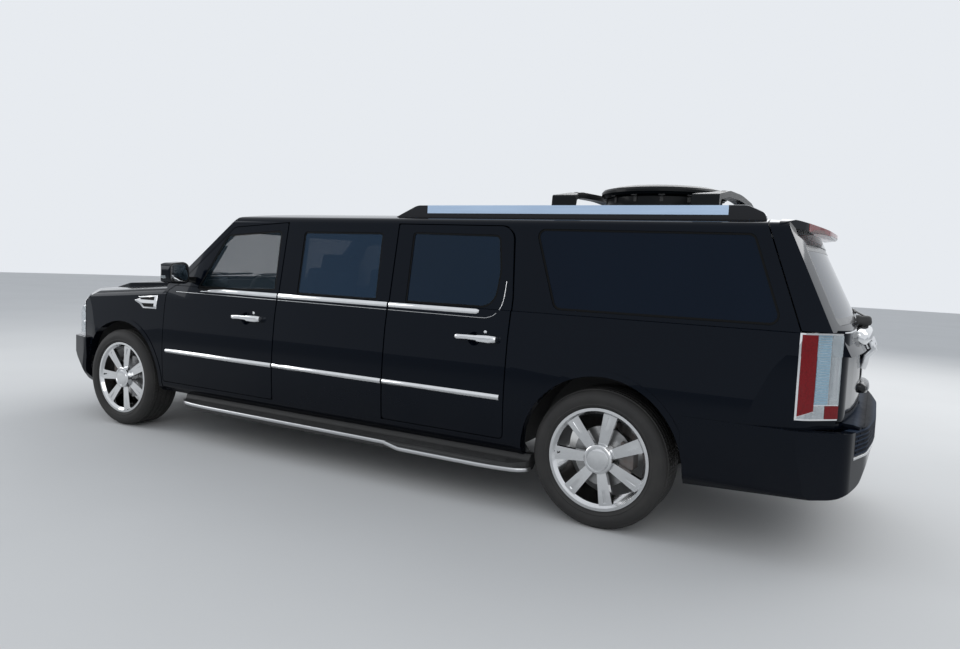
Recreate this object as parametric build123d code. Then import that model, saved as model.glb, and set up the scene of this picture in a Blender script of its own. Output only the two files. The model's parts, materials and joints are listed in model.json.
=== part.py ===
from build123d import *
import os
from math import cos, radians, sin

# Stretch limousine: a long four-door estate body on a ladder frame, with a fixed panel let in
# between its front and rear doors. Frame: X forward, Y left, Z up, origin on the ground under
# the middle of the vehicle's length. All sizes are in millimetres.

os.makedirs("parts", exist_ok=True)

# Driving dimensions of the layout
base_wheelbase = 3302.0
stretch_length = 914.0
front_overhang = 985.0
rear_overhang = 1375.0
front_track = 1732.0
rear_track = 1702.0
tyre_radius = 404.0
tyre_width = 285.0
rim_radius = 297.0
rim_width = 250.0
arch_radius = 480.0

# Places worked out from the layout
wheelbase = base_wheelbase + stretch_length
overall_length = front_overhang + wheelbase + rear_overhang
nose_x = overall_length / 2
tail_x = -overall_length / 2
front_axle_x = nose_x - front_overhang
rear_axle_x = front_axle_x - wheelbase
axle_z = tyre_radius

# Panel construction
wall = 60.0
skin = 18.0
jamb_depth = 24.0
glass_depth = 6.0
glass_thickness = 5.0
panel_gap = 7.0
seat_gap = 0.3
body_bottom_z = 352.0
door_bottom_z = 432.0
belt_z = 1216.0
roof_split_y = 776.0
hood_split_y = roof_split_y

# Panel lines along the length
door_front_x = front_axle_x - 525.0
front_door_rear_x = front_axle_x - 1723.0
rear_door_front_x = rear_axle_x + 1510.0
rear_door_rear_x = rear_axle_x + 600.0
quarter_split_x = rear_axle_x + 568.0
hood_rear_x = front_axle_x - 416.0
seam_top_x = rear_axle_x - 799.0
seam_bottom_x = rear_axle_x - 1010.0
gate_bottom_z = 766.0
lamp_inner_y = 826.0
lamp_bottom_z = 776.0
lamp_top_z = 1217.0
bumper_top_z = 728.0
front_bumper_top_z = 706.0
front_bumper_rear_x = front_axle_x + arch_radius - 20.0
rear_bumper_front_x = rear_axle_x - arch_radius + 20.0

# Body section behind the fenders. Columns: half width, height, corner radius
body_section_rows = [
    (880.0, 0.0, 0.0),
    (888.0, 305.0, 40.0),
    (990.0, 398.0, 60.0),
    (1012.0, 700.0, 2400.0),
    (985.0, 1050.0, 1200.0),
    (956.0, 1212.0, 0.0),
    (946.0, belt_z, 0.0),
    (849.0, 1766.0, 62.0),
    (600.0, 1812.0, 2600.0),
    (0.0, 1838.0, 5000.0),
]

# Fender and hood section, swept forward and slightly down. Columns as above
front_section_rows = [
    (880.0, 0.0, 0.0),
    (888.0, 305.0, 40.0),
    (990.0, 398.0, 60.0),
    (1012.0, 700.0, 2400.0),
    (985.0, 1050.0, 1000.0),
    (962.0, 1186.0, 62.0),
    (640.0, 1222.0, 1800.0),
    (0.0, 1236.0, 5000.0),
]
front_fall_deg = 4.6

# Plan outline of the panels, left half. Columns: x, half width, corner radius
plan_rows = [
    (nose_x - 38.0, 0.0, 3000.0),
    (nose_x - 118.0, 620.0, 500.0),
    (nose_x - 248.0, 900.0, 220.0),
    (front_axle_x + 297.0, 1014.0, 900.0),
    (rear_axle_x - 737.0, 1014.0, 600.0),
    (rear_axle_x - 1047.0, 960.0, 200.0),
    (rear_axle_x - 1222.0, 800.0, 150.0),
    (tail_x + 63.0, 0.0, 5000.0),
]

# Side outline of the roof. Columns: x, height, corner radius
roof_rows = [
    (rear_axle_x - 1500.0, 900.0, 0.0),
    (front_axle_x, 900.0, 0.0),
    (front_axle_x, 1380.0, 0.0),
    (front_axle_x - 903.0, 1690.0, 0.0),
    (front_axle_x - 1253.0, 1786.0, 900.0),
    (front_axle_x - 1803.0, 1828.0, 2500.0),
    (front_axle_x - 2603.0, 1841.0, 5000.0),
    (rear_axle_x - 387.0, 1836.0, 3000.0),
    (rear_axle_x - 947.0, 1778.0, 900.0),
    (rear_axle_x - 1500.0, 1640.0, 0.0),
]

# Side outline of the lower body behind the fenders
lower_rows = [
    (tail_x + 40.0, 0.0, 0.0),
    (front_axle_x, 0.0, 0.0),
    (front_axle_x, belt_z + 16.0, 0.0),
    (tail_x + 134.0, belt_z + 16.0, 0.0),
    (tail_x + 48.0, 1085.0, 80.0),
]

# Side outline of the nose
nose_rows = [
    (front_axle_x - 1200.0, 0.0, 0.0),
    (nose_x - 8.0, 0.0, 0.0),
    (nose_x - 10.0, 300.0, 0.0),
    (nose_x - 62.0, 1010.0, 120.0),
    (nose_x - 158.0, 1102.0, 220.0),
    (front_axle_x + 100.0, 1222.0, 0.0),
    (front_axle_x - 1200.0, 1500.0, 0.0),
]

# Nose and bumper corners, seen square to a diagonal. Columns: reach along it, height, corner radius
corner_angle_deg = 55.0
nose_corner_rows = [
    (0.0, -100.0, 0.0),
    (2480.0, -100.0, 0.0),
    (2480.0, 760.0, 600.0),
    (2450.0, 955.0, 300.0),
    (2386.0, 1062.0, 200.0),
    (2290.0, 1124.0, 300.0),
    (1700.0, 1262.0, 0.0),
    (0.0, 1500.0, 0.0),
]
bumper_corner_rows = [
    (0.0, -500.0, 0.0),
    (2330.0, 284.0, 30.0),
    (2392.0, 330.0, 60.0),
    (2484.0, 520.0, 160.0),
    (2516.0, 640.0, 80.0),
    (2496.0, 860.0, 0.0),
    (0.0, 1500.0, 0.0),
]

# Windscreen and rear glass are stretches of large cylinders
windscreen_base_x = front_axle_x - 443.0
windscreen_base_z = 1236.0
windscreen_slope_deg = 40.0
windscreen_bow_radius = 5000.0
rear_glass_base_x = rear_axle_x - 1246.0
rear_glass_base_z = 1234.0
rear_glass_lean_deg = 26.4
rear_glass_bow_radius = 5300.0
long_reach = 12000.0

# Side windows, as holes in the panels. Columns: x, height, corner radius
front_window_rows = [
    (front_axle_x - 1685.0, 1228.0, 20.0),
    (front_axle_x - 855.0, 1193.0, 25.0),
    (front_axle_x - 1115.0, 1630.0, 70.0),
    (front_axle_x - 1667.0, 1672.0, 30.0),
]
middle_window_rows = [
    (rear_axle_x + 1613.0, 1216.0, 18.0),
    (front_axle_x - 1893.0, 1216.0, 18.0),
    (front_axle_x - 1885.0, 1668.0, 25.0),
    (rear_axle_x + 1629.0, 1672.0, 25.0),
]
rear_window_rows = [
    (rear_axle_x + 716.0, 1219.0, 115.0),
    (rear_axle_x + 1381.0, 1216.0, 18.0),
    (rear_axle_x + 1387.0, 1680.0, 25.0),
    (rear_axle_x + 735.0, 1674.0, 45.0),
    (rear_axle_x + 698.0, 1450.0, 300.0),
]
quarter_window_rows = [
    (rear_axle_x - 928.0, 1240.0, 50.0),
    (rear_axle_x + 330.0, 1238.0, 60.0),
    (rear_axle_x + 505.0, 1716.0, 45.0),
    (rear_axle_x - 752.0, 1712.0, 50.0),
]

# Front and rear door outlines on the skin
front_door_rows = [
    (front_door_rear_x, door_bottom_z, 25.0),
    (door_front_x, door_bottom_z, 25.0),
    (door_front_x, 1162.0, 70.0),
    (front_axle_x - 642.0, 1226.0, 60.0),
    (front_axle_x - 1175.0, 1693.0, 80.0),
    (front_door_rear_x, 1735.0, 18.0),
]
rear_door_rows = [
    (rear_door_rear_x, door_bottom_z, 30.0),
    (rear_door_front_x, door_bottom_z, 25.0),
    (rear_door_front_x, 1736.0, 18.0),
    (rear_door_rear_x + 48.0, 1733.0, 100.0),
    (rear_door_rear_x, 1290.0, 300.0),
]

# Outer opening for both doors and the fixed panel, in the side frame's skin
side_opening_rows = [
    (rear_door_rear_x, door_bottom_z, 30.0),
    (door_front_x, door_bottom_z, 25.0),
    (door_front_x, 1162.0, 70.0),
    (front_axle_x - 642.0, 1226.0, 60.0),
    (front_axle_x - 1175.0, 1693.0, 80.0),
    (front_door_rear_x, 1735.0, 1500.0),
    (rear_door_front_x, 1736.5, 1500.0),
    (rear_door_rear_x + 40.0, 1733.0, 100.0),
    (rear_door_rear_x - 4.0, 1290.0, 300.0),
]

# Openings seen from the front or the back. Columns: half width, height, corner radius
windscreen_rows = [(886.0, 1258.0, 60.0), (774.0, 1688.0, 70.0)]
rear_glass_rows = [(796.0, 1250.0, 45.0), (716.0, 1668.0, 60.0)]

# Doors: how far the inner box stands inside the skin's edge, and the frame's lap over it
door_box_rear_inset = 38.0
jamb_overlap = 14.0


def inset_rows(rows, distance):
    """Corner rows of a counter-clockwise outline, with every edge moved inwards."""
    moved = []
    for index, (a, b, radius) in enumerate(rows):
        before = rows[index - 1]
        after = rows[(index + 1) % len(rows)]
        arriving = Vector(a - before[0], b - before[1]).normalized()
        leaving = Vector(after[0] - a, after[1] - b).normalized()
        shift = distance / (1.0 + arriving.dot(leaving))
        new_a = a - shift * (arriving.Y + leaving.Y)
        new_b = b + shift * (arriving.X + leaving.X)
        turns_left = arriving.cross(leaving).Z > 0
        new_radius = max(radius - distance, 0.0) if turns_left else radius + distance * (radius > 0)
        moved.append((new_a, new_b, new_radius))
    return moved


def rounded_face(rows, distance=0.0):
    """Face of a closed outline with rounded corners, moved inwards by a distance."""
    moved = inset_rows(rows, distance)
    corners = [(a, b) for a, b, radius in moved]
    return make_face(FilletPolyline(*corners, radius=[radius for a, b, radius in moved], close=True))


def mirrored_section(half):
    """Whole counter-clockwise outline in (y, z) from rows that climb its left side."""
    return half + [(-y, z, radius) for y, z, radius in reversed(half) if y != 0.0]


def mirrored_plan(half):
    """Whole counter-clockwise outline in (x, y) from rows that run back along its left side."""
    return half + [(x, -y, radius) for x, y, radius in reversed(half) if y != 0.0]


def side_prism(rows, y_low, y_high, distance=0.0):
    """Prism across the vehicle of an outline in (x, z)."""
    face = Plane.XZ * rounded_face(rows, distance)
    return Pos(0, y_high, 0) * extrude(face, amount=y_high - y_low)


def section_prism(rows, x_low, x_high, distance=0.0):
    """Prism along the vehicle of an outline in (y, z)."""
    face = Plane.YZ * rounded_face(rows, distance)
    return Pos(x_low, 0, 0) * extrude(face, amount=x_high - x_low)


def plan_prism(rows, z_low, z_high, distance=0.0):
    """Upright prism of an outline in (x, y)."""
    return Pos(0, 0, z_low) * extrude(rounded_face(rows, distance), amount=z_high - z_low)


def block(x_low, x_high, y_low, y_high, z_low, z_high):
    """Box between two corners."""
    centre = Pos((x_low + x_high) / 2, (y_low + y_high) / 2, (z_low + z_high) / 2)
    return centre * Box(x_high - x_low, y_high - y_low, z_high - z_low)


def corner_prism(rows, distance=0.0):
    """Prisms along both diagonals, which round off the two front corners."""
    whole = side_prism(rows, -3000, 3000, distance)
    return (Rot(0, 0, corner_angle_deg) * whole) & (Rot(0, 0, -corner_angle_deg) * whole)


def both_sides(shape):
    """A left-hand shape and its mirror image on the right."""
    return [shape, mirror(shape, about=Plane.XZ)]


def cylinder_y(radius, x, z, y_low, y_high):
    """Cylinder across the vehicle."""
    return Pos(x, (y_low + y_high) / 2, z) * Rot(90, 0, 0) * Cylinder(radius, y_high - y_low)


def cylinder_x(radius, x_low, x_high, y, z):
    """Cylinder along the vehicle."""
    return Pos((x_low + x_high) / 2, y, z) * Rot(0, 90, 0) * Cylinder(radius, x_high - x_low)


def cylinder_z(radius, x, y, z_low, z_high):
    """Upright cylinder."""
    return Pos(x, y, (z_low + z_high) / 2) * Cylinder(radius, z_high - z_low)


def bar(start, end, radius):
    """Round bar between two points."""
    start = Vector(*start)
    along = Vector(*end) - start
    return Plane(origin=start + along * 0.5, z_dir=along.normalized()) * Cylinder(radius, along.length)


def save(name, shapes):
    """Write one sub-part, as a solid or as several that don't touch."""
    pieces = shapes if isinstance(shapes, list) else [shapes]
    solids = [solid for piece in pieces for solid in piece.solids()]
    export_step(Compound(children=solids) if len(solids) > 1 else solids[0], f"parts/{name}.step")


def leaning_cylinder(base_x, base_z, along, inward, radius):
    """Large cylinder whose surface passes through a centre-line point and runs along a slope."""
    axis = Plane(origin=Vector(base_x, 0, base_z) + Vector(*inward) * radius, z_dir=Vector(*along))
    return lambda distance: axis * Cylinder(radius - distance, long_reach)


screen_slope = radians(windscreen_slope_deg)
screen_bow = leaning_cylinder(
    windscreen_base_x, windscreen_base_z,
    (-cos(screen_slope), 0, sin(screen_slope)), (-sin(screen_slope), 0, -cos(screen_slope)),
    windscreen_bow_radius)
gate_lean = radians(rear_glass_lean_deg)
gate_bow = leaning_cylinder(
    rear_glass_base_x, rear_glass_base_z,
    (sin(gate_lean), 0, cos(gate_lean)), (cos(gate_lean), 0, -sin(gate_lean)),
    rear_glass_bow_radius)


def greenhouse(distance):
    """Cabin above the belt, moved inwards by a distance."""
    form = section_prism(mirrored_section(body_section_rows), tail_x - 100, front_axle_x, distance)
    form &= side_prism(roof_rows, -1100, 1100, distance)
    form &= screen_bow(distance)
    form &= gate_bow(distance)
    return form & block(tail_x - 50, front_axle_x, -1100, 1100, 1100, 2000)


def rear_lower(distance):
    """Lower body behind the fenders, moved inwards by a distance."""
    form = section_prism(mirrored_section(body_section_rows), tail_x - 100, door_front_x, distance)
    form &= plan_prism(mirrored_plan(plan_rows), 0, 1300, distance)
    return form & side_prism(lower_rows, -1100, 1100, distance)


def front_lower(distance):
    """Fenders and hood, moved inwards by a distance."""
    fall = radians(front_fall_deg)
    face = Plane.YZ * rounded_face(mirrored_section(front_section_rows), distance)
    form = extrude(Pos(door_front_x, 0, 0) * face, amount=1700 / cos(fall), dir=(cos(fall), 0, -sin(fall)))
    form &= plan_prism(mirrored_plan(plan_rows), -200, 1400, distance)
    form &= corner_prism(nose_corner_rows, distance)
    return form & side_prism(nose_rows, -1100, 1100, distance)


def body_form(distance):
    """Whole body, moved inwards by a distance and cut off at the sill."""
    form = greenhouse(distance) + rear_lower(distance) + front_lower(distance)
    return form & block(tail_x - 50, nose_x + 50, -1100, 1100, body_bottom_z, 2000)


def side_skin(outer, inner):
    """Band of the straight side wall between two depths, both sides, behind the fenders."""
    rows = mirrored_section(body_section_rows)
    band = section_prism(rows, quarter_split_x - 200, door_front_x + 50, outer)
    return band - section_prism(rows, quarter_split_x - 300, door_front_x + 100, inner)


outer_form = body_form(0)
jamb_form = body_form(jamb_depth)
inner_form = body_form(wall)
cabin_form = body_form(wall + seat_gap)
glass_outer = body_form(glass_depth)
glass_inner = body_form(glass_depth + glass_thickness)
shell = outer_form - inner_form
glass_band = glass_outer - glass_inner
far = 1100.0

# Side frames: cant rails, windscreen pillars, sills and the jambs behind the doors
left_side = block(quarter_split_x, door_front_x, roof_split_y, far, body_bottom_z, 2000)
outer_opening = side_prism(side_opening_rows, 0, far)
front_jamb_opening = side_prism(front_door_rows, 0, far, jamb_overlap)
rear_jamb_opening = side_prism(rear_door_rows, 0, far, jamb_overlap)
middle_hole = side_prism(middle_window_rows, 0, far)
windscreen_hole = section_prism(mirrored_section(windscreen_rows), 0, front_axle_x)
outer_layer = ((outer_form - jamb_form) & left_side) - outer_opening
inner_layer = ((jamb_form - inner_form) & left_side) - front_jamb_opening - rear_jamb_opening - middle_hole
side_frame = (outer_layer + inner_layer) - windscreen_hole
save("side_frames", both_sides(side_frame))

# Fixed panels let in between the doors
half_gap = panel_gap / 2
stretch_region = block(rear_door_front_x + half_gap, front_door_rear_x - half_gap, 0, far, 0, 2000)
stretch_region &= side_prism(side_opening_rows, 0, far, seat_gap)
stretch_panel = (side_skin(0, jamb_depth - seat_gap) & stretch_region) - middle_hole
save("stretch_panels", both_sides(stretch_panel))
middle_glass = (side_skin(glass_depth, glass_depth + glass_thickness)
                & side_prism(middle_window_rows, 0, far, seat_gap))
save("stretch_glass", both_sides(middle_glass))


def door(outline_rows, window_rows):
    """Door skin with the thinner box behind it, and the window glass."""
    skin_part = side_skin(0, skin) & side_prism(outline_rows, 0, far, panel_gap - 1.0)
    box_part = side_skin(skin, wall) & side_prism(outline_rows, 0, far, door_box_rear_inset)
    hole = side_prism(window_rows, 0, far)
    glass = (side_skin(glass_depth, glass_depth + glass_thickness)
             & side_prism(window_rows, 0, far, seat_gap))
    return (skin_part + box_part) - hole, glass


front_door, front_door_glass = door(front_door_rows, front_window_rows)
rear_door, rear_door_glass = door(rear_door_rows, rear_window_rows)

# Door handles: a strap on two feet over a round cup in the skin. Columns: middle x, height
handle_rows = {"front": (front_axle_x - 1463.0, 1016.0), "rear": (rear_axle_x + 806.0, 1036.0)}
handle_length = 276.0
handle_y = 1022.0
cup_radius = 90.0
cup_depth = 12.0
cup_skin_y = 986.0
cup_forward = 24.0


def with_handle(panel, middle_x, height):
    """The panel with its cup pressed in and its pull handle on."""
    cup = Pos(middle_x + cup_forward, cup_skin_y + cup_radius - cup_depth, height) * Sphere(cup_radius)
    strap = Box(handle_length, 10, 24)
    strap = fillet(strap.edges().filter_by(Axis.X), 4)
    strap = Pos(middle_x, handle_y, height) * strap
    for foot in (-1, 1):
        x = middle_x + foot * (handle_length / 2 - 20)
        strap += block(x - 16, x + 16, 970, handle_y - 2, height - 9, height + 9)
    return (panel - cup) + strap


front_door = with_handle(front_door, *handle_rows["front"])
rear_door = with_handle(rear_door, *handle_rows["rear"])

# Mirrors: a foot on the door's front corner and a deep housing
mirror_x = front_axle_x - 797.0
mirror_front_rows = [
    (1024.0, 1238.0, 45.0),
    (1208.0, 1240.0, 60.0),
    (1222.0, 1390.0, 60.0),
    (1044.0, 1411.0, 50.0),
]
mirror_side_rows = [
    (mirror_x - 75, 1233.0, 22.0),
    (mirror_x + 30, 1236.0, 60.0),
    (mirror_x + 78, 1300.0, 60.0),
    (mirror_x + 60, 1384.0, 60.0),
    (mirror_x - 10, 1411.0, 90.0),
    (mirror_x - 75, 1408.0, 22.0),
]
mirror_plan_rows = [
    (mirror_x - 75, 1022.0, 20.0),
    (mirror_x + 20, 1022.0, 60.0),
    (mirror_x + 78, 1084.0, 60.0),
    (mirror_x + 66, 1184.0, 70.0),
    (mirror_x + 6, 1222.0, 60.0),
    (mirror_x - 75, 1222.0, 24.0),
]
mirror_housing = section_prism(mirror_front_rows, mirror_x - 200, mirror_x + 200)
mirror_housing &= side_prism(mirror_side_rows, 900, 1300)
mirror_housing &= plan_prism(mirror_plan_rows, 1150, 1500)
mirror_arm = block(mirror_x - 40, mirror_x + 30, 940, 1030, 1248, 1290)
mirror_arm -= section_prism(mirrored_section(body_section_rows), 0, front_axle_x, -seat_gap)
left_mirror = mirror_housing + mirror_arm

save("door_front_left", front_door)
save("door_glass_front_left", front_door_glass)
save("door_rear_left", rear_door)
save("door_glass_rear_left", rear_door_glass)
save("mirror_left", left_mirror)
save("door_front_right", mirror(front_door, about=Plane.XZ))
save("door_glass_front_right", mirror(front_door_glass, about=Plane.XZ))
save("door_rear_right", mirror(rear_door, about=Plane.XZ))
save("door_glass_rear_right", mirror(rear_door_glass, about=Plane.XZ))
save("mirror_right", mirror(left_mirror, about=Plane.XZ))

# Arches
front_arch = cylinder_y(arch_radius, front_axle_x, axle_z, -far, far)
rear_arch = cylinder_y(arch_radius, rear_axle_x, axle_z, -far, far)
arch_lip_width = 34.0
arch_lip_proud = 4.0
proud_form = body_form(-arch_lip_proud)
arch_band = proud_form - body_form(skin)


def arch_lip(axle_x):
    """Flange round a wheel opening, a little proud of the panel, still to be cut by the arch."""
    ring = cylinder_y(arch_radius + arch_lip_width, axle_x, axle_z, 700, far)
    ring -= cylinder_y(arch_radius - 20, axle_x, axle_z, 690, far + 10)
    return arch_band & ring

# Liftgate, cut out along a leaning seam on each side, between the tail lamps below
seam_top_z = 1780.0
seam_slope = (seam_top_x - seam_bottom_x) / (seam_top_z - lamp_top_z)
seam_rows = [
    (seam_bottom_x, lamp_top_z, 0.0),
    (seam_bottom_x + seam_slope * (2000.0 - lamp_top_z), 2000.0, 0.0),
    (tail_x - 100, 2000.0, 0.0),
    (tail_x - 100, lamp_top_z, 0.0),
]
gate_upper = side_prism(seam_rows, -far, far)
gate_lower = block(tail_x - 100, tail_x + 320, -lamp_inner_y, lamp_inner_y,
                   gate_bottom_z - panel_gap, lamp_top_z)
gate_opening = gate_upper + gate_lower
gate_upper_clear = side_prism(seam_rows, -far, far, panel_gap)
gate_lower_clear = block(tail_x - 100, tail_x + 320, -lamp_inner_y + panel_gap, lamp_inner_y - panel_gap,
                         gate_bottom_z, lamp_top_z + 2 * panel_gap)
gate_region = gate_upper_clear + gate_lower_clear
rear_glass_hole = section_prism(mirrored_section(rear_glass_rows), tail_x - 50, seam_bottom_x + 300)
liftgate = (shell & gate_region) - rear_glass_hole

# Spoiler that carries the roof's line on over the glass, with a bowed rear edge
spoiler_rows = [
    (seam_top_x - 295.0, 1729.0, 5.0),
    (seam_top_x - 190.0, 1737.0, 0.0),
    (seam_top_x - 62.0, 1752.0, 0.0),
    (seam_top_x - 62.0, 1795.0, 0.0),
    (seam_top_x - 150.0, 1787.0, 300.0),
    (seam_top_x - 255.0, 1765.0, 200.0),
    (seam_top_x - 300.0, 1748.0, 6.0),
]
spoiler_plan_rows = [
    (seam_top_x - 50.0, 842.0, 0.0),
    (seam_top_x - 95.0, 836.0, 60.0),
    (seam_top_x - 185.0, 650.0, 260.0),
    (seam_top_x - 276.0, 300.0, 500.0),
    (seam_top_x - 299.0, 0.0, 2000.0),
]
spoiler = side_prism(spoiler_rows, -far, far) & plan_prism(mirrored_plan(spoiler_plan_rows), 1600, 1900)
spoiler &= section_prism(mirrored_section(body_section_rows), tail_x, seam_top_x, -6.0)
liftgate += spoiler - inner_form
plate_hole_radius = 3.5
plate_hole_y = 89.0
plate_hole_z = 985.0
for side in (-1, 1):
    liftgate -= cylinder_x(plate_hole_radius, tail_x, tail_x + 400, side * plate_hole_y, plate_hole_z)
save("liftgate", liftgate)
save("liftgate_glass", glass_band & section_prism(
    mirrored_section(rear_glass_rows), tail_x - 50, seam_bottom_x + 300, seat_gap))

# Tail lamps at the rear corners
lamp_region = block(tail_x - 100, seam_bottom_x - seat_gap, lamp_inner_y, far,
                    lamp_bottom_z, lamp_top_z - seat_gap)
tail_lamp = (proud_form - inner_form) & lamp_region
save("tail_lamps", both_sides(tail_lamp))

# Rear quarters with their blanked windows
quarter_region = block(tail_x - 50, quarter_split_x, roof_split_y, far, bumper_top_z, 2000)
quarter_region += block(rear_bumper_front_x + seat_gap, quarter_split_x, roof_split_y, far,
                        body_bottom_z, bumper_top_z)
quarter_hole = side_prism(quarter_window_rows, 0, far)
lamp_column = block(tail_x - 100, seam_bottom_x, lamp_inner_y - 60, far,
                    lamp_bottom_z - seat_gap, lamp_top_z)
quarter = (shell + arch_lip(rear_axle_x)) & quarter_region
quarter = quarter - rear_arch - gate_opening - quarter_hole - lamp_column
save("rear_quarters", both_sides(quarter))
quarter_panel = glass_band & side_prism(quarter_window_rows, 0, far, seat_gap) & block(
    tail_x, quarter_split_x + 300, 700, far, 1100, 2000)
save("quarter_glass", both_sides(quarter_panel))

# Roof panel with the headers
roof_region = block(seam_bottom_x - 100, front_axle_x - 700,
                    -roof_split_y + seat_gap, roof_split_y - seat_gap, 1560, 2000)
roof_panel = (shell & roof_region) - windscreen_hole - gate_opening
save("roof_panel", roof_panel)

# Windscreen, cowl, hood and fenders
windscreen = glass_band & section_prism(mirrored_section(windscreen_rows), 0, front_axle_x, seat_gap)
save("windscreen", windscreen)
hood_clear_y = hood_split_y - panel_gap
cowl_region = block(front_axle_x - 900, hood_rear_x - panel_gap,
                    -roof_split_y + seat_gap, roof_split_y - seat_gap, 1050, 1400)
cowl = (shell & cowl_region) - windscreen_hole
hood_rest_y = 620.0
hood_rest_half = 20.0
for side in (-1, 1):
    low_y = side * hood_rest_y - hood_rest_half
    high_y = side * hood_rest_y + hood_rest_half
    cowl += block(hood_rear_x - 40, hood_rear_x + 45, low_y, high_y, 1120, 1300) & cabin_form
    cowl += block(hood_rear_x - 40, hood_rear_x - 12, low_y, high_y, 1120, 1185)
save("cowl_panel", cowl)
grille_top_z = 1042.0
hood_region = block(hood_rear_x, nose_x, -hood_clear_y, hood_clear_y, grille_top_z + panel_gap, 1400)

# Raised middle of the hood. Columns of its outlines as for the fenders, the nose and the plan
hood_dome_section = [
    (646.0, 1100.0, 0.0),
    (640.0, 1232.0, 30.0),
    (560.0, 1262.0, 120.0),
    (0.0, 1292.0, 5000.0),
]
hood_dome_side = [
    (hood_rear_x + 6.0, 1000.0, 0.0),
    (nose_x - 82.0, 1000.0, 0.0),
    (nose_x - 180.0, 1118.0, 240.0),
    (front_axle_x + 100.0, 1250.0, 500.0),
    (hood_rear_x + 130.0, 1292.0, 90.0),
    (hood_rear_x + 6.0, 1226.0, 0.0),
]
hood_dome_plan = [
    (nose_x - 40.0, 0.0, 0.0),
    (nose_x - 118.0, 470.0, 60.0),
    (front_axle_x + 500.0, 560.0, 300.0),
    (hood_rear_x, 640.0, 0.0),
]
dome_fall = radians(front_fall_deg)
dome_face = Plane.YZ * rounded_face(mirrored_section(hood_dome_section))
hood_dome = extrude(Pos(door_front_x, 0, 0) * dome_face, amount=1700,
                    dir=(cos(dome_fall), 0, -sin(dome_fall)))
hood_dome &= side_prism(hood_dome_side, -far, far)
hood_dome &= plan_prism(mirrored_plan(hood_dome_plan), 900, 1400)
hood = (shell & hood_region) + ((hood_dome - front_lower(skin)) & hood_region)
save("hood", hood)

headlamp_rear_x = front_axle_x + 552.0
grille_half_width = 590.0
headlamp_inner_y = grille_half_width + seat_gap
headlamp_bottom_z = front_bumper_top_z + seat_gap
headlamp_top_z = 1072.0
headlamp_region = block(headlamp_rear_x, nose_x + 50, headlamp_inner_y, far, headlamp_bottom_z, grille_top_z)
headlamp_region += block(headlamp_rear_x, nose_x + 50, hood_split_y, far, headlamp_bottom_z, headlamp_top_z)
headlamp_proud = 3.0
headlamp = (front_lower(-headlamp_proud) - front_lower(wall)) & headlamp_region
save("headlamps", both_sides(headlamp))

fender_region = block(door_front_x + seat_gap, nose_x, hood_split_y, far, body_bottom_z, 1400)
fender_cut = block(headlamp_rear_x - seat_gap, nose_x + 50, 0, far, 0, headlamp_top_z + seat_gap)
fender_cut += block(front_bumper_rear_x - seat_gap, nose_x + 50, 0, far, 0, front_bumper_top_z + seat_gap)
fender = ((shell + arch_lip(front_axle_x)) & fender_region) - front_arch - fender_cut
save("front_fenders", both_sides(fender))

# Grille: a frame with an egg-crate of bars
grille_bottom_z = front_bumper_top_z + seat_gap
grille_band = front_lower(2.0) - front_lower(42.0)
grille_frame = block(nose_x - 400, nose_x, -grille_half_width, grille_half_width,
                     grille_bottom_z, grille_top_z)
grille_frame -= block(nose_x - 400, nose_x, -grille_half_width + 36, grille_half_width - 36,
                      grille_bottom_z + 36, grille_top_z - 36)
bar_band = front_lower(8.0) - front_lower(34.0)
bar_rows = 6
bar_columns = 15
half_bar = 4.5
bar_reach = grille_half_width - 30.0
bars = []
for row in range(1, bar_rows):
    z = grille_bottom_z + 36 + row * (grille_top_z - grille_bottom_z - 72) / bar_rows
    bars.append(block(nose_x - 400, nose_x, -bar_reach, bar_reach, z - half_bar, z + half_bar))
for column in range(1, bar_columns):
    y = -grille_half_width + 36 + column * (2 * grille_half_width - 72) / bar_columns
    bars.append(block(nose_x - 400, nose_x, y - half_bar, y + half_bar,
                      grille_bottom_z + 30, grille_top_z - 30))
crate = bars[0]
for bar_block in bars[1:]:
    crate += bar_block
grille = (grille_band & grille_frame) + (bar_band & crate)
save("grille", grille)

# Front bumper, standing proud of the panels. Its side outline runs past the plan's ends, so that
# no two faces lie in one plane
past_plan = 4.0
front_bumper_rows = [
    (nose_x, 240.0, 900.0),
    (nose_x - 60.0, 640.0, 480.0),
    (nose_x - 168.0, 912.0, 220.0),
    (front_axle_x + 480.0, 1010.0, 300.0),
    (front_axle_x, 1016.0, 0.0),
]
front_bumper_side = [
    (front_axle_x, 300.0, 0.0),
    (nose_x - 70.0, 318.0, 60.0),
    (nose_x + past_plan, 455.0, 120.0),
    (nose_x + past_plan, 660.0, 60.0),
    (nose_x - 40.0, front_bumper_top_z, 0.0),
    (front_axle_x, front_bumper_top_z, 0.0),
]


def front_bumper_form(distance):
    """Bumper cover's outside, moved inwards by a distance."""
    form = plan_prism(mirrored_plan(front_bumper_rows), 0, 800, distance)
    section = mirrored_section(body_section_rows)
    form &= section_prism(section, front_axle_x - 100, nose_x + 10, distance - 2.0)
    form &= corner_prism(bumper_corner_rows, distance)
    return form & side_prism(front_bumper_side, -far, far)


bumper_wall = 50.0
fog_lamp_rows = [(560.0, 430.0, 20.0), (720.0, 430.0, 20.0), (770.0, 520.0, 20.0), (560.0, 520.0, 20.0)]
front_bumper = front_bumper_form(0) - front_bumper_form(bumper_wall)
front_bumper &= block(front_bumper_rear_x, nose_x + 10, -far, far, 300, front_bumper_top_z)
front_bumper -= front_arch
front_bumper -= block(nose_x - 300, nose_x + 10, -430, 430, 405, 505)
fog_lamp_holes = section_prism(fog_lamp_rows, nose_x - 500, nose_x + 10)
front_bumper -= fog_lamp_holes + mirror(fog_lamp_holes, about=Plane.XZ)
save("front_bumper", front_bumper)

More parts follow.
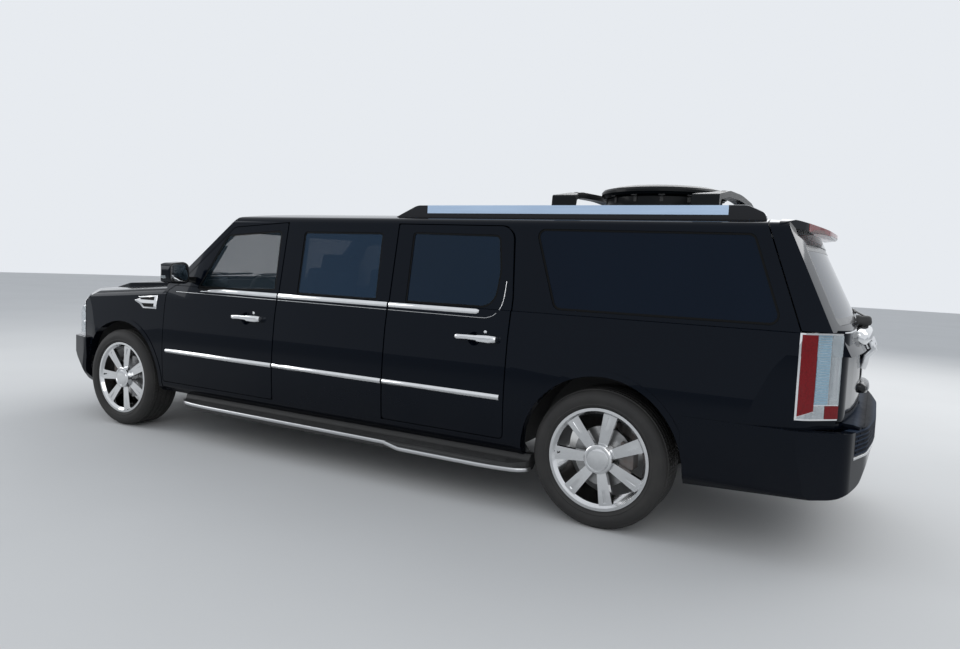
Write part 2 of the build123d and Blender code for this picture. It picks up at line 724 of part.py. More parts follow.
# Rear bumper with its step pad, open round the tow receiver
hitch_half = 32.0
hitch_wall = 6.0
hitch_z = 478.0
rear_bumper_rows = [
    (rear_axle_x, 1016.0, 0.0),
    (rear_axle_x - 1040.0, 1010.0, 220.0),
    (rear_axle_x - 1262.0, 905.0, 110.0),
    (tail_x + 34.0, 660.0, 400.0),
    (tail_x, 300.0, 1500.0),
]
rear_bumper_side = [
    (rear_axle_x, 346.0, 0.0),
    (rear_axle_x, bumper_top_z, 0.0),
    (tail_x - past_plan, bumper_top_z, 12.0),
    (tail_x - past_plan, 640.0, 60.0),
    (tail_x + 60.0, 440.0, 60.0),
    (tail_x + 160.0, 392.0, 200.0),
    (rear_axle_x - 480.0, 346.0, 0.0),
]


def rear_bumper_form(distance):
    """Rear bumper cover's outside, moved inwards by a distance."""
    form = plan_prism(mirrored_plan(rear_bumper_rows), 0, 800, distance)
    section = mirrored_section(body_section_rows)
    form &= section_prism(section, tail_x - 10, rear_axle_x, distance - 2.0)
    return form & side_prism(list(reversed(rear_bumper_side)), -far, far)


rear_bumper = rear_bumper_form(0) - rear_bumper_form(bumper_wall)
rear_bumper &= block(tail_x - 10, rear_bumper_front_x, -far, far, 300, bumper_top_z - seat_gap)
rear_bumper -= rear_arch
rear_bumper -= block(tail_x - 10, rear_axle_x - 900, -hitch_half - seat_gap, hitch_half + seat_gap,
                     hitch_z - hitch_half - seat_gap, hitch_z + hitch_half + seat_gap)
step_pad_rows = [
    (tail_x - 6.0, 690.0, 0.0),
    (tail_x + 190.0, 690.0, 0.0),
    (tail_x + 190.0, 757.0, 0.0),
    (tail_x + 100.0, 752.0, 60.0),
    (tail_x - 6.0, 722.0, 0.0),
]
step_pad = side_prism(step_pad_rows, -762, 762)
rear_bumper += step_pad & plan_prism(mirrored_plan(rear_bumper_rows), 0, 800, 6)
striker_x = tail_x + 106.0
rear_bumper += block(striker_x - 14, striker_x + 14, -24, 24, bumper_top_z, gate_bottom_z - seat_gap)
save("rear_bumper", rear_bumper)

# Wheel-arch liners, and the closed inner wheelhouses at the back
liner_thickness = 6.0
liner_radius = arch_radius + 10.0
front_liner_inner_y = 520.0
rear_house_inner_y = 640.0


def liner(axle_x, inner_y):
    """Half ring above the wheel, cut to the panel's inside."""
    ring = cylinder_y(liner_radius + liner_thickness, axle_x, axle_z, inner_y, far)
    ring -= cylinder_y(liner_radius, axle_x, axle_z, inner_y - 10, far + 10)
    ring &= cabin_form
    return ring & block(axle_x - 600, axle_x + 600, inner_y, far, body_bottom_z + 60, 1200)


front_liner = liner(front_axle_x, front_liner_inner_y)
rear_liner = liner(rear_axle_x, rear_house_inner_y)
floor_z = 620.0
floor_thickness = 22.0
house_wall = cylinder_y(liner_radius + liner_thickness, rear_axle_x, axle_z,
                        rear_house_inner_y - liner_thickness, rear_house_inner_y)
house_wall &= block(rear_axle_x - 600, rear_axle_x + 600, 0, far, floor_z - 40, 1200)
rear_liner += house_wall
save("wheel_liners", both_sides(front_liner) + both_sides(rear_liner))

# Floor pan with the front bulkhead
bulkhead_x = door_front_x - 60.0
floor = block(tail_x + 130, bulkhead_x + 20, -far, far, floor_z - floor_thickness, floor_z)
floor &= cabin_form
for side in (-1, 1):
    low, high = sorted((side * (rear_house_inner_y - liner_thickness - seat_gap), side * far))
    floor -= cylinder_y(liner_radius + liner_thickness + seat_gap, rear_axle_x, axle_z, low, high)
    low, high = sorted((side * (front_liner_inner_y - seat_gap), side * far))
    floor -= cylinder_y(liner_radius + liner_thickness + seat_gap, front_axle_x, axle_z, low, high)
bulkhead = (block(bulkhead_x, bulkhead_x + 20, -far, far, floor_z - 5, 1180) & cabin_form)
floor += bulkhead
save("floor_pan", floor)

# Ladder frame
rail_y = 410.0
rail_width = 70.0
rail_top_z = floor_z - floor_thickness - seat_gap
rail_bottom_z = 430.0
rail_outer_y = rail_y + rail_width / 2
rail_inner_y = rail_y - rail_width / 2
rail = block(rear_axle_x - 1180, front_axle_x + 820, rail_inner_y, rail_outer_y, rail_bottom_z, rail_top_z)
axle_relief = block(rear_axle_x - 170, rear_axle_x + 170, 0, far, rail_bottom_z - 10, 520)
rail -= axle_relief
frame_solid = rail + mirror(rail, about=Plane.XZ)
# Columns: x, lowest height, highest height
crossmember_rows = [
    (front_axle_x + 780, 440, 500),
    (front_axle_x - 1500, 484, 560),
    (front_axle_x - 2600, 484, 560),
    (rear_axle_x + 700, 484, 560),
    (rear_axle_x - 420, 484, 560),
    (rear_axle_x - 1140, hitch_z - hitch_half, hitch_z + hitch_half),
]
for x, low, high in crossmember_rows:
    frame_solid += block(x - 40, x + 40, -rail_y, rail_y, low, high)
gearbox_x = front_axle_x - 700.0
gearbox_z = 470.0
gearbox_radius = 120.0
frame_solid += block(gearbox_x - 40, gearbox_x + 40, -rail_y, rail_y,
                     300, gearbox_z - gearbox_radius - seat_gap)
for side in (-1, 1):
    frame_solid += block(gearbox_x - 40, gearbox_x + 40, side * rail_y - 35, side * rail_y + 35,
                         300, rail_bottom_z + 5)
hitch = block(tail_x + 60, rear_axle_x - 1100, -hitch_half, hitch_half,
              hitch_z - hitch_half, hitch_z + hitch_half)
socket = hitch_half - hitch_wall
hitch -= block(tail_x + 50, rear_axle_x - 1130, -socket, socket, hitch_z - socket, hitch_z + socket)
frame_solid += hitch
save("chassis_frame", frame_solid)

# Engine, gearbox and shafts as plain masses
engine = block(front_axle_x - 330, front_axle_x + 420, -290, 290, 560, 1060)
engine = chamfer(engine.edges().filter_by(Axis.X), 60)
save("engine_block", engine)
gearbox = cylinder_x(gearbox_radius, front_axle_x - 1180, front_axle_x - 330 - seat_gap, 0, gearbox_z)
gearbox &= block(front_axle_x - 1400, front_axle_x, -300, 300, 300, 585)
shaft_tail_x = rear_axle_x + 165.0
propshaft = bar((front_axle_x - 1170, 0, 430), (shaft_tail_x, 0, 410), 38)
save("driveline", gearbox + propshaft)

# Rear axle: tube, differential, stub ends, brake calipers
rear_wheel_y = rear_track / 2
front_wheel_y = front_track / 2
hub_offset = 31.0
stub_radius = 34.0
disc_radius = 176.0
disc_low = -8.0
disc_high = 24.0
axle_tube_end = rear_wheel_y + disc_low - 14.0
rear_axle = cylinder_y(46, rear_axle_x, axle_z, -axle_tube_end, axle_tube_end)
rear_axle += Pos(rear_axle_x, 0, axle_z) * Sphere(150)
stub_end = rear_wheel_y + hub_offset + 30
rear_axle += cylinder_y(stub_radius, rear_axle_x, axle_z, -stub_end, stub_end)
for side in (-1, 1):
    spring = cylinder_z(58, rear_axle_x, side * rail_y, axle_z + 20, 520 - seat_gap)
    rear_axle += spring


def caliper(axle_x, wheel_y, reach_x):
    """Caliper that straddles the disc's edge, on a bracket from the hub."""
    body = Pos(axle_x + reach_x, wheel_y + (disc_low + disc_high) / 2, axle_z + 30) * Box(78, 96, 150)
    body -= cylinder_y(disc_radius + 6, axle_x, axle_z, wheel_y + disc_low - 6, wheel_y + disc_high + 6)
    low_x, high_x = sorted((axle_x - 30 * reach_x / abs(reach_x), axle_x + reach_x))
    back_y = wheel_y + disc_low - 40
    bracket = block(low_x, high_x, back_y, back_y + 26, axle_z - 30, axle_z + 60)
    return body + bracket


rear_caliper = caliper(rear_axle_x, rear_wheel_y, -150)
rear_axle += rear_caliper
rear_axle += mirror(rear_caliper, about=Plane.XZ)
save("rear_axle", rear_axle)

# Steering knuckles on their upper and lower ball studs
kingpin_y = 805.0
ball_reach = 118.0
ball_radius = 14.0
knuckle = block(front_axle_x - 34, front_axle_x + 34, kingpin_y - 36, kingpin_y + 20,
                axle_z - ball_reach + 22, axle_z + ball_reach - 22)
knuckle = fillet(knuckle.edges().filter_by(Axis.Z), 12)
stud_reach = ball_reach + 24
knuckle += cylinder_z(ball_radius, front_axle_x, kingpin_y - 8, axle_z - stud_reach, axle_z + stud_reach)
knuckle += cylinder_y(stub_radius, front_axle_x, axle_z, kingpin_y, front_wheel_y + hub_offset + 30)
knuckle += cylinder_y(60, front_axle_x, axle_z, kingpin_y - 10, front_wheel_y + disc_low - 14)
knuckle += caliper(front_axle_x, front_wheel_y, 150)
save("knuckle_left", knuckle)
save("knuckle_right", mirror(knuckle, about=Plane.XZ))

# Front suspension: lower and upper arms with the ball studs' sockets, coil-overs and subframe
frame_outer_y = rail_outer_y + seat_gap


def control_arm(z_low, z_high, spread):
    """Wishbone from two points on the frame to the socket at the knuckle."""
    foot_y = frame_outer_y + 60
    outline = [
        (front_axle_x - spread - 40, frame_outer_y, 0.0),
        (front_axle_x + spread + 40, frame_outer_y, 0.0),
        (front_axle_x + spread + 40, foot_y, 0.0),
        (front_axle_x + 34, kingpin_y + 10, 0.0),
        (front_axle_x - 34, kingpin_y + 10, 0.0),
        (front_axle_x - spread - 40, foot_y, 0.0),
    ]
    window = [
        (front_axle_x - spread + 25, foot_y, 0.0),
        (front_axle_x + spread - 25, foot_y, 0.0),
        (front_axle_x, kingpin_y - 130, 0.0),
    ]
    arm = plan_prism(outline, z_low, z_high) - plan_prism(window, z_low - 5, z_high + 5)
    arm -= cylinder_z(ball_radius + seat_gap, front_axle_x, kingpin_y - 8, z_low - 5, z_high + 5)
    return arm


lower_arm = control_arm(axle_z - ball_reach - 18, axle_z - ball_reach + 16, 170)
upper_arm = control_arm(axle_z + ball_reach - 16, axle_z + ball_reach + 12, 130)
lower_bracket = block(front_axle_x - 210, front_axle_x + 210, rail_inner_y, frame_outer_y,
                      axle_z - ball_reach - 18, rail_bottom_z - seat_gap)
front_corner = lower_arm + lower_bracket
save("front_suspension", both_sides(front_corner) + both_sides(upper_arm))

# Exhaust
exhaust = bar((front_axle_x - 900, -250, 400), (rear_axle_x + 1250, -250, 400), 34)
silencer = block(rear_axle_x + 640, rear_axle_x + 1260, -350, -150, 330, 470)
silencer = fillet(silencer.edges().filter_by(Axis.X), 55)
tail_pipe = bar((rear_axle_x + 650, -250, 400), (rear_axle_x + 330, -300, 330), 30)
exhaust += silencer + tail_pipe
for hanger_x in (front_axle_x - 1500, front_axle_x - 2600):
    exhaust += block(hanger_x - 8, hanger_x + 8, -265, -235, 420, 484 - seat_gap)
save("exhaust", exhaust)

# Wheels with seven spokes and tyres
spoke_count = 7
rim_inner_radius = 262.0
hub_bore = stub_radius + seat_gap


def wheel_at(x, y):
    """Rim, spokes and centre, with the face outboard on the left."""
    half = rim_width / 2
    profile = Polyline(
        (rim_inner_radius, -half + 12), (rim_radius, -half), (rim_radius, -half + 14), (280, -half + 18),
        (272, -40), (272, 60), (280, half - 18), (rim_radius, half - 14), (rim_radius, half),
        (rim_inner_radius + 18, half), (rim_inner_radius, half - 20), close=True)
    rim = revolve(make_face(profile), Axis.Y)
    spoke_end = rim_inner_radius + 6
    spoke = Polyline((38, 60), (spoke_end, 84), (spoke_end, 112), (210, 108), (78, 96), (38, 96), close=True)
    spoke_solid = extrude(make_face(spoke), amount=44, both=True)
    taper = Polyline((0, -22), (300, -43), (300, 43), (0, 22), close=True)
    spoke_solid &= Pos(0, 150, 0) * extrude(Plane.XZ * make_face(taper), amount=300)
    spoke_solid -= Pos(178, 112, 0) * Box(150, 14, 18)
    wheel = rim
    for index in range(spoke_count):
        wheel += Rot(0, index * 360 / spoke_count, 0) * spoke_solid
    wheel += Pos(0, 72, 0) * Rot(90, 0, 0) * Cylinder(86, 2 * (72 - hub_offset) - 20)
    wheel += Pos(0, 106, 0) * Rot(90, 0, 0) * Cylinder(84, 16)
    wheel += Pos(0, (hub_offset + 60) / 2, 0) * Rot(90, 0, 0) * Cylinder(84, 60 - hub_offset)
    wheel -= Pos(0, hub_offset + 20, 0) * Rot(90, 0, 0) * Cylinder(hub_bore, 2 * 12 + 24)
    placed = wheel if y > 0 else mirror(wheel, about=Plane.XZ)
    return Pos(x, y, axle_z) * placed


def tyre_at(x, y):
    """Tyre with square shoulders and plain sidewalls, seated on the rim."""
    half = tyre_width / 2
    seat = rim_radius + seat_gap
    profile = Polyline(
        (seat, -half + 26), (seat + 34, -half), (370, -half + 3), (394, -half + 26),
        (tyre_radius, -half + 62), (tyre_radius, half - 62), (394, half - 26), (370, half - 3),
        (seat + 34, half), (seat, half - 26), close=True)
    return Pos(x, y, axle_z) * revolve(make_face(profile), Axis.Y)


def disc_at(x, y):
    """Brake disc with its hat, behind the wheel's centre."""
    side = 1 if y > 0 else -1
    low, high = sorted((side * disc_low, side * disc_high))
    disc = cylinder_y(disc_radius, x, axle_z, y + low, y + high)
    low, high = sorted((side * disc_high, side * (hub_offset - seat_gap)))
    disc += cylinder_y(84, x, axle_z, y + low, y + high)
    return disc - cylinder_y(stub_radius + seat_gap, x, axle_z, y - 60, y + 60)


corners = {
    "front_left": (front_axle_x, front_wheel_y),
    "front_right": (front_axle_x, -front_wheel_y),
    "rear_left": (rear_axle_x, rear_wheel_y),
    "rear_right": (rear_axle_x, -rear_wheel_y),
}
for name, (x, y) in corners.items():
    save(f"wheel_{name}", wheel_at(x, y))
    save(f"tyre_{name}", tyre_at(x, y))
    save(f"brake_disc_{name}", disc_at(x, y))

# Running boards with swept ends, set against the sill and bracketed to the frame
board_outer_y = 1034.0
board_inner_y = 872.0
board_front_x = door_front_x - 200.0
board_rear_x = rear_door_rear_x - 180.0
board_bottom_z = 250.0
# Columns: y, height, corner radius
board_section_rows = [
    (board_inner_y, 306.0, 8.0),
    (905.0, 258.0, 20.0),
    (1012.0, board_bottom_z, 14.0),
    (board_outer_y, 262.0, 9.0),
    (board_outer_y, 294.0, 9.0),
    (1018.0, 303.0, 6.0),
    (945.0, 314.0, 24.0),
    (928.0, body_bottom_z - seat_gap, 0.0),
    (board_inner_y, body_bottom_z - seat_gap, 0.0),
]
# Columns: x, y, corner radius
board_plan_rows = [
    (board_rear_x, board_inner_y - 10, 0.0),
    (board_front_x, board_inner_y - 10, 0.0),
    (board_front_x - 20, 950.0, 60.0),
    (board_front_x - 110, board_outer_y - 16, 110.0),
    (board_front_x - 320, board_outer_y + 10, 0.0),
    (board_rear_x + 320, board_outer_y + 10, 0.0),
    (board_rear_x + 110, board_outer_y - 16, 110.0),
    (board_rear_x + 20, 950.0, 60.0),
]
board = section_prism(board_section_rows, board_rear_x - 10, board_front_x + 10)
board &= plan_prism(board_plan_rows, 200, 400)
for x in (board_front_x - 340, 0.0, board_rear_x + 340):
    board += block(x - 40, x + 40, frame_outer_y, board_inner_y + 60, 262, 290)
    board += block(x - 40, x + 40, frame_outer_y, rail_outer_y + 30, 262, rail_bottom_z + 40)
save("running_boards", both_sides(board))

# Roof rails, crossbars and dome
rail_line_y = 705.0
rail_half_width = 18.0
rail_front_x = rear_axle_x + 1650.0
rail_rear_x = rear_axle_x - 787.0
rail_top = 1868.0
roof_rail_rows = [
    (rail_rear_x, 1780.0, 0.0),
    (rail_front_x, 1780.0, 0.0),
    (rail_front_x - 190, rail_top, 120.0),
    (rail_rear_x + 105, rail_top, 90.0),
    (rail_rear_x + 14, 1826.0, 40.0),
]
roof_rail = side_prism(roof_rail_rows, rail_line_y - rail_half_width, rail_line_y + rail_half_width)
save("roof_rails", both_sides(roof_rail - body_form(-seat_gap)))

dome_x = rear_axle_x - 30.0
crossbar_reach = 500.0
crossbar_width = 74.0
crossbar_foot_length = 158.0
bar_foot_z = rail_top + seat_gap
# Arched blade on two feet. Columns: y, height, corner radius
crossbar_rows = [
    (-723.0, bar_foot_z, 0.0),
    (-687.0, bar_foot_z, 0.0),
    (-664.0, 1908.0, 24.0),
    (-400.0, 1944.0, 500.0),
    (0.0, 1958.0, 3000.0),
    (400.0, 1944.0, 500.0),
    (664.0, 1908.0, 24.0),
    (687.0, bar_foot_z, 0.0),
    (723.0, bar_foot_z, 0.0),
    (716.0, 1932.0, 18.0),
    (400.0, 1981.0, 500.0),
    (0.0, 1996.0, 3000.0),
    (-400.0, 1981.0, 500.0),
    (-716.0, 1932.0, 18.0),
]
# Half of its plan outline. Columns: distance in from the outer edge, y, corner radius
crossbar_plan_rows = [
    (0.0, -740.0, 0.0),
    (0.0, 740.0, 0.0),
    (crossbar_foot_length, 740.0, 0.0),
    (crossbar_foot_length - 20, 640.0, 40.0),
    (crossbar_width, 500.0, 200.0),
    (crossbar_width, -500.0, 200.0),
    (crossbar_foot_length - 20, -640.0, 40.0),
    (crossbar_foot_length, -740.0, 0.0),
]
crossbar_blank = section_prism(crossbar_rows, -20, crossbar_foot_length + 20)
crossbar = crossbar_blank & plan_prism(list(reversed(crossbar_plan_rows)), 1800, 2100)
rear_crossbar = Pos(dome_x - crossbar_reach, 0, 0) * crossbar
front_crossbar = Pos(dome_x + crossbar_reach, 0, 0) * mirror(crossbar, about=Plane.YZ)
save("roof_crossbars", [front_crossbar, rear_crossbar])

dome_radius = 410.0
dome_bottom_z = 1872.0
dome_profile = Polyline(
    (0, 0), (350, 0), (374, 20), (374, 86), (400, 98), (dome_radius, 114), (dome_radius, 128),
    (398, 142), (330, 160), (180, 174), (0, 179), close=True)
roof_dome = Pos(dome_x, 0, dome_bottom_z) * revolve(Plane.XZ * make_face(dome_profile), Axis.Z)
dome_foot = block(dome_x - 250, dome_x + 250, -250, 250, 1800, dome_bottom_z + 5) - body_form(-seat_gap)
save("roof_dome", roof_dome + dome_foot)

# Cabin: dashboard, steering wheel, seats
dash_rows = [
    (bulkhead_x - 330, 820.0, 40.0),
    (bulkhead_x - seat_gap, 820.0, 0.0),
    (bulkhead_x - seat_gap, 1160.0, 60.0),
    (bulkhead_x - 300, 1140.0, 90.0),
]
dashboard = side_prism(dash_rows, -880, 880) & body_form(wall + 12.0)
save("dashboard", dashboard)
steering_x = bulkhead_x - 480.0
steering_y = 380.0
steering_z = 1130.0
column_axis = Vector(-0.88, 0, 0.475)
steering_plane = Plane(origin=(steering_x, steering_y, steering_z), z_dir=column_axis)
rim_section = RegularPolygon(radius=15, side_count=8)
steering_wheel = steering_plane * revolve(Plane.XZ * (Pos(182, 0, 0) * rim_section), Axis.Z)
steering_wheel += steering_plane * Cylinder(62, 34)
for angle in (0, 120, 240):
    steering_wheel += steering_plane * (Rot(0, 0, angle + 90) * (Pos(95, 0, 0) * Box(190, 34, 12)))
steering_wheel += steering_plane * (Pos(0, 0, -130) * Cylinder(30, 240))
steering_wheel -= dashboard
save("steering_wheel", steering_wheel)


def seat(front_x, y_low, y_high):
    """Plain seat: base, cushion, leaning backrest and head restraint in one closed form."""
    rows = [
        (front_x - 560, floor_z + seat_gap, 10.0),
        (front_x - 60, floor_z + seat_gap, 10.0),
        (front_x, floor_z + 190, 40.0),
        (front_x, floor_z + 320, 45.0),
        (front_x - 430, floor_z + 300, 30.0),
        (front_x - 540, floor_z + 900, 50.0),
        (front_x - 660, floor_z + 900, 50.0),
        (front_x - 620, floor_z + 240, 60.0),
    ]
    return side_prism(rows, y_low, y_high)


front_seat_x = bulkhead_x - 620.0
save("front_seats", both_sides(seat(front_seat_x, 120, 660)))
rear_seat_x = rear_axle_x + 1060.0
middle_seat_x = front_axle_x - 1950.0
rear_bench = seat(rear_seat_x, -620, 620)
middle_seat = seat(middle_seat_x, 120, 660)
save("rear_seats", both_sides(middle_seat) + [rear_bench])
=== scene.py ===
"""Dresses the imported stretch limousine: paint, chrome, glass, tyres, lamps, seats and trim."""
import json
from math import cos, pi, radians, sin, tan

import bmesh
import bpy
from bpy.props import FloatProperty, FloatVectorProperty, IntProperty, PointerProperty
from mathutils import Matrix, Vector
from mathutils.bvhtree import BVHTree
from mathutils.geometry import interpolate_bezier

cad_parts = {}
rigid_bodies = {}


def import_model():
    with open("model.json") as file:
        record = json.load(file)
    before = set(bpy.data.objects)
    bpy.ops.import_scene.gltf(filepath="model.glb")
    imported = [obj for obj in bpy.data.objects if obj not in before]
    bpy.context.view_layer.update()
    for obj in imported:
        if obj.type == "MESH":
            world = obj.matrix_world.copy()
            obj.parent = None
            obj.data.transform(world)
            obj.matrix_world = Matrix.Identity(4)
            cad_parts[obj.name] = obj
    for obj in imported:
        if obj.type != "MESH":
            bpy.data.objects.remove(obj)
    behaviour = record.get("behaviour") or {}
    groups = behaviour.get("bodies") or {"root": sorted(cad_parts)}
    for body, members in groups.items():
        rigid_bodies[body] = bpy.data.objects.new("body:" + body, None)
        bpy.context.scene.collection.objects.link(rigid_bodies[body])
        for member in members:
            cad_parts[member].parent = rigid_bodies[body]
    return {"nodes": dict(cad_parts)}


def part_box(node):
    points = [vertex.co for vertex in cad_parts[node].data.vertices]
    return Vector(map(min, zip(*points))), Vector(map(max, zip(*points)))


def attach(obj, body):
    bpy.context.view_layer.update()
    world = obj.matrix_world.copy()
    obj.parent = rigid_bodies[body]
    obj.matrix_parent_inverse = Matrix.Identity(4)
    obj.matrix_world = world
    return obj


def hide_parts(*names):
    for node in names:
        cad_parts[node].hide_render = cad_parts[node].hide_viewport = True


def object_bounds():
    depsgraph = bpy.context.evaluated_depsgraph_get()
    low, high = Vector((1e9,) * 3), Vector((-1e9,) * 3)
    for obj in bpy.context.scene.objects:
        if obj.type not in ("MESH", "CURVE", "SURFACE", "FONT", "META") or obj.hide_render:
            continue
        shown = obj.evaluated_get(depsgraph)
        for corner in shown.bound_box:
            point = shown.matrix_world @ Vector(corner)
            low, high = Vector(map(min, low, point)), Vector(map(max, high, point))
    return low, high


bl_info = {
    "name": "Stretch limousine dresser",
    "version": (1, 0, 0),
    "blender": (4, 5, 0),
    "location": "View3D > Sidebar > Limousine",
    "description": "Adds finishes, tyres, lamps, trim and seats to the packed limousine",
    "category": "Object",
}

for leftover in list(bpy.data.objects):
    bpy.data.objects.remove(leftover)
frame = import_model()
cad_low, cad_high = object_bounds()
SIDES = {"left": 1.0, "right": -1.0}
ENDS = ("front", "rear")
wheel_low, wheel_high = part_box("tyre_front_left")
TYRE_RADIUS = (wheel_high.z - wheel_low.z) / 2
rim_low, rim_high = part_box("wheel_front_left")
RIM_RADIUS = (rim_high.z - rim_low.z) / 2
RIM_HALF_WIDTH = (rim_high.y - rim_low.y) / 2


class Level:
    """A number in a material's node tree. Arithmetic on it adds Math nodes."""

    def __init__(self, finish, socket):
        self.finish = finish
        self.socket = socket

    def maths(self, operation, first, second, clamp=False):
        """One Math node on two numbers."""
        return self.finish.add("ShaderNodeMath", {"operation": operation, "use_clamp": clamp},
                               {0: first, 1: second}, "Value")

    def __add__(self, other):
        return self.maths("ADD", self, other)

    def __sub__(self, other):
        return self.maths("SUBTRACT", self, other)

    def __mul__(self, other):
        return self.maths("MULTIPLY", self, other)

    def __truediv__(self, other):
        return self.maths("DIVIDE", self, other)

    def __pow__(self, other):
        return self.maths("POWER", self, other)

    def __radd__(self, other):
        return self.maths("ADD", other, self)

    def __rsub__(self, other):
        return self.maths("SUBTRACT", other, self)

    def __rmul__(self, other):
        return self.maths("MULTIPLY", other, self)

    def clamped(self):
        """The number held between 0 and 1."""
        return self.maths("ADD", self, 0.0, clamp=True)


class Finish:
    """A material being made: its node tree and its main shader."""

    def __init__(self, name, **constants):
        self.material = bpy.data.materials.new(name)
        self.material.use_nodes = True
        self.tree = self.material.node_tree
        self.shader = self.tree.nodes["Principled BSDF"]
        for socket, value in constants.items():
            self.shader.inputs[socket.replace("_", " ").title().replace("Ior", "IOR")].default_value = value

    def add(self, kind, settings, inputs, output):
        """Any node: its settings are set first, then the values or links of its sockets."""
        node = self.tree.nodes.new(kind)
        for key, value in settings.items():
            setattr(node, key, value)
        for key, value in inputs.items():
            if isinstance(value, Level):
                self.tree.links.new(value.socket, node.inputs[key])
            else:
                node.inputs[key].default_value = value
        return Level(self, node.outputs[output])

    def ramp(self, level, stops):
        """Colour ramp through (place, colour) stops."""
        out = self.add("ShaderNodeValToRGB", {}, {"Fac": level}, "Color")
        elements = out.socket.node.color_ramp.elements
        while len(elements) < len(stops):
            elements.new(0.5)
        for element, (place, colour) in zip(elements, stops):
            element.position = place
            element.color = (*colour, 1.0)
        return out

    def position(self, scale=(1.0, 1.0, 1.0), turn=(0.0, 0.0, 0.0)):
        """Object coordinates, scaled and turned."""
        place = self.add("ShaderNodeTexCoord", {}, {}, "Object")
        return self.add("ShaderNodeMapping", {}, {"Vector": place, "Scale": scale, "Rotation": turn}, "Vector")

    def noise(self, scale, detail=3.0, stretch=(1.0, 1.0, 1.0), roughness=0.5):
        """Cloudy noise from 0 to 1, with its scale in features per metre."""
        return self.add("ShaderNodeTexNoise", {},
                        {"Vector": self.position(stretch), "Scale": scale, "Detail": detail,
                         "Roughness": roughness}, "Fac")

    def cells(self, scale, stretch=(1.0, 1.0, 1.0)):
        """Distance to the nearest of scattered points."""
        return self.add("ShaderNodeTexVoronoi", {}, {"Vector": self.position(stretch), "Scale": scale},
                        "Distance")

    def axis(self, letter):
        """Distance along one of the vehicle's axes in metres."""
        place = self.add("ShaderNodeTexCoord", {}, {}, "Object")
        return self.add("ShaderNodeSeparateXYZ", {}, {"Vector": place}, letter)

    def height(self):
        """Height above the ground in metres."""
        return self.axis("Z")

    def above(self, level, limit):
        """1 where the first number is larger than the second, else 0."""
        return self.add("ShaderNodeMath", {"operation": "GREATER_THAN"}, {0: level, 1: limit}, "Value")

    def blend(self, level, low, high):
        """Colour between two colours."""
        node = self.tree.nodes.new("ShaderNodeMix")
        node.data_type = "RGBA"
        self.tree.links.new(level.socket, node.inputs["Factor"])
        for key, colour in ((6, low), (7, high)):
            if isinstance(colour, Level):
                self.tree.links.new(colour.socket, node.inputs[key])
            else:
                node.inputs[key].default_value = (*colour, 1.0)
        return Level(self, node.outputs[2])

    def feed(self, **links):
        """Links levels into the main shader, by socket name with underscores."""
        for key, level in links.items():
            self.tree.links.new(level.socket, self.shader.inputs[key.replace("_", " ").title()])
        return self

    def bump(self, level, distance, strength=1.0):
        """Relief of a given depth in metres."""
        normal = self.add("ShaderNodeBump", {}, {"Height": level, "Distance": distance,
                                                 "Strength": strength}, "Normal")
        return self.feed(normal=normal)


def grey(value, tint=0.0):
    """Grey colour, a little blue for a positive tint."""
    return (value * (1 - tint), value, value * (1 + tint))


def paint_finish():
    """Deep black clear-coated paint with road dust low down."""
    look = bpy.context.scene.limousine
    finish = Finish("black_paint", coat_weight=0.20, coat_roughness=0.015, specular_ior_level=0.05,
                    specular_tint=(0.38, 0.62, 1.0, 1.0))
    dust = finish.noise(2.2, 6.0) * (0.7 + finish.noise(34.0, 4.0) * 0.6)
    low = (1.05 - finish.height() * 1.25).clamped()
    film = (dust * low * 0.26 + finish.noise(0.9) * 0.010).clamped()
    finish.feed(base_color=finish.blend(film, tuple(look.paint), (0.042, 0.037, 0.032)),
                roughness=(0.07 + film * 0.7).clamped())
    return finish.bump(finish.noise(220.0, 1.0), 0.00002)


def frame_paint_finish():
    """Satin black chassis paint with road film and a little rust."""
    finish = Finish("chassis_paint")
    rust = finish.noise(14.0, 6.0) ** 4.0
    finish.feed(base_color=finish.blend(rust, grey(0.02), (0.09, 0.04, 0.02)),
                roughness=0.55 + finish.noise(30.0) * 0.3)
    return finish.bump(finish.noise(90.0, 4.0), 0.0006)


def floor_carpet_finish():
    """Short black carpet over the floor pan."""
    finish = Finish("floor_carpet", roughness=0.95, sheen_weight=0.25)
    pile = finish.noise(900.0, 2.0)
    finish.feed(base_color=finish.blend(pile, grey(0.012), grey(0.035)))
    return finish.bump(pile, 0.0015)


def glass_finish(name, colour, alpha, smoke):
    """Window glass: the alpha sets how dark its film is."""
    finish = Finish(name, roughness=0.02, ior=1.45, specular_ior_level=0.42, specular_tint=(0.50, 0.75, 1.0, 1.0))
    haze = finish.noise(1.6, 4.0)
    finish.feed(base_color=finish.blend(haze, colour, tuple(c * smoke for c in colour)),
                alpha=alpha + haze * 0.04)
    return finish


def blank_panel_finish():
    """Gloss black panel where a window has been blanked off."""
    finish = Finish("blank_panel", coat_weight=0.16, coat_roughness=0.02, specular_ior_level=0.08,
                    specular_tint=(0.28, 0.56, 1.0, 1.0))
    rib_relief_and_sheen = finish.noise(2.5, 3.0)
    finish.feed(base_color=finish.blend(rib_relief_and_sheen, (0.0012, 0.0034, 0.0085), (0.0018, 0.0046, 0.0110)),
                roughness=0.05 + rib_relief_and_sheen * 0.08)
    return finish.bump(rib_relief_and_sheen, 0.0006)


def chrome_finish(name, tone=0.82, rough=0.05, wear=0.12):
    """Plated metal with faint haze and brake dust."""
    finish = Finish(name, metallic=1.0)
    haze = finish.noise(18.0, 5.0) * finish.noise(110.0, 2.0)
    finish.feed(base_color=finish.blend(haze, grey(tone, 0.012), grey(tone * 0.72, 0.0)),
                roughness=(rough + haze * wear).clamped())
    return finish.bump(finish.noise(160.0, 2.0), 0.00003)


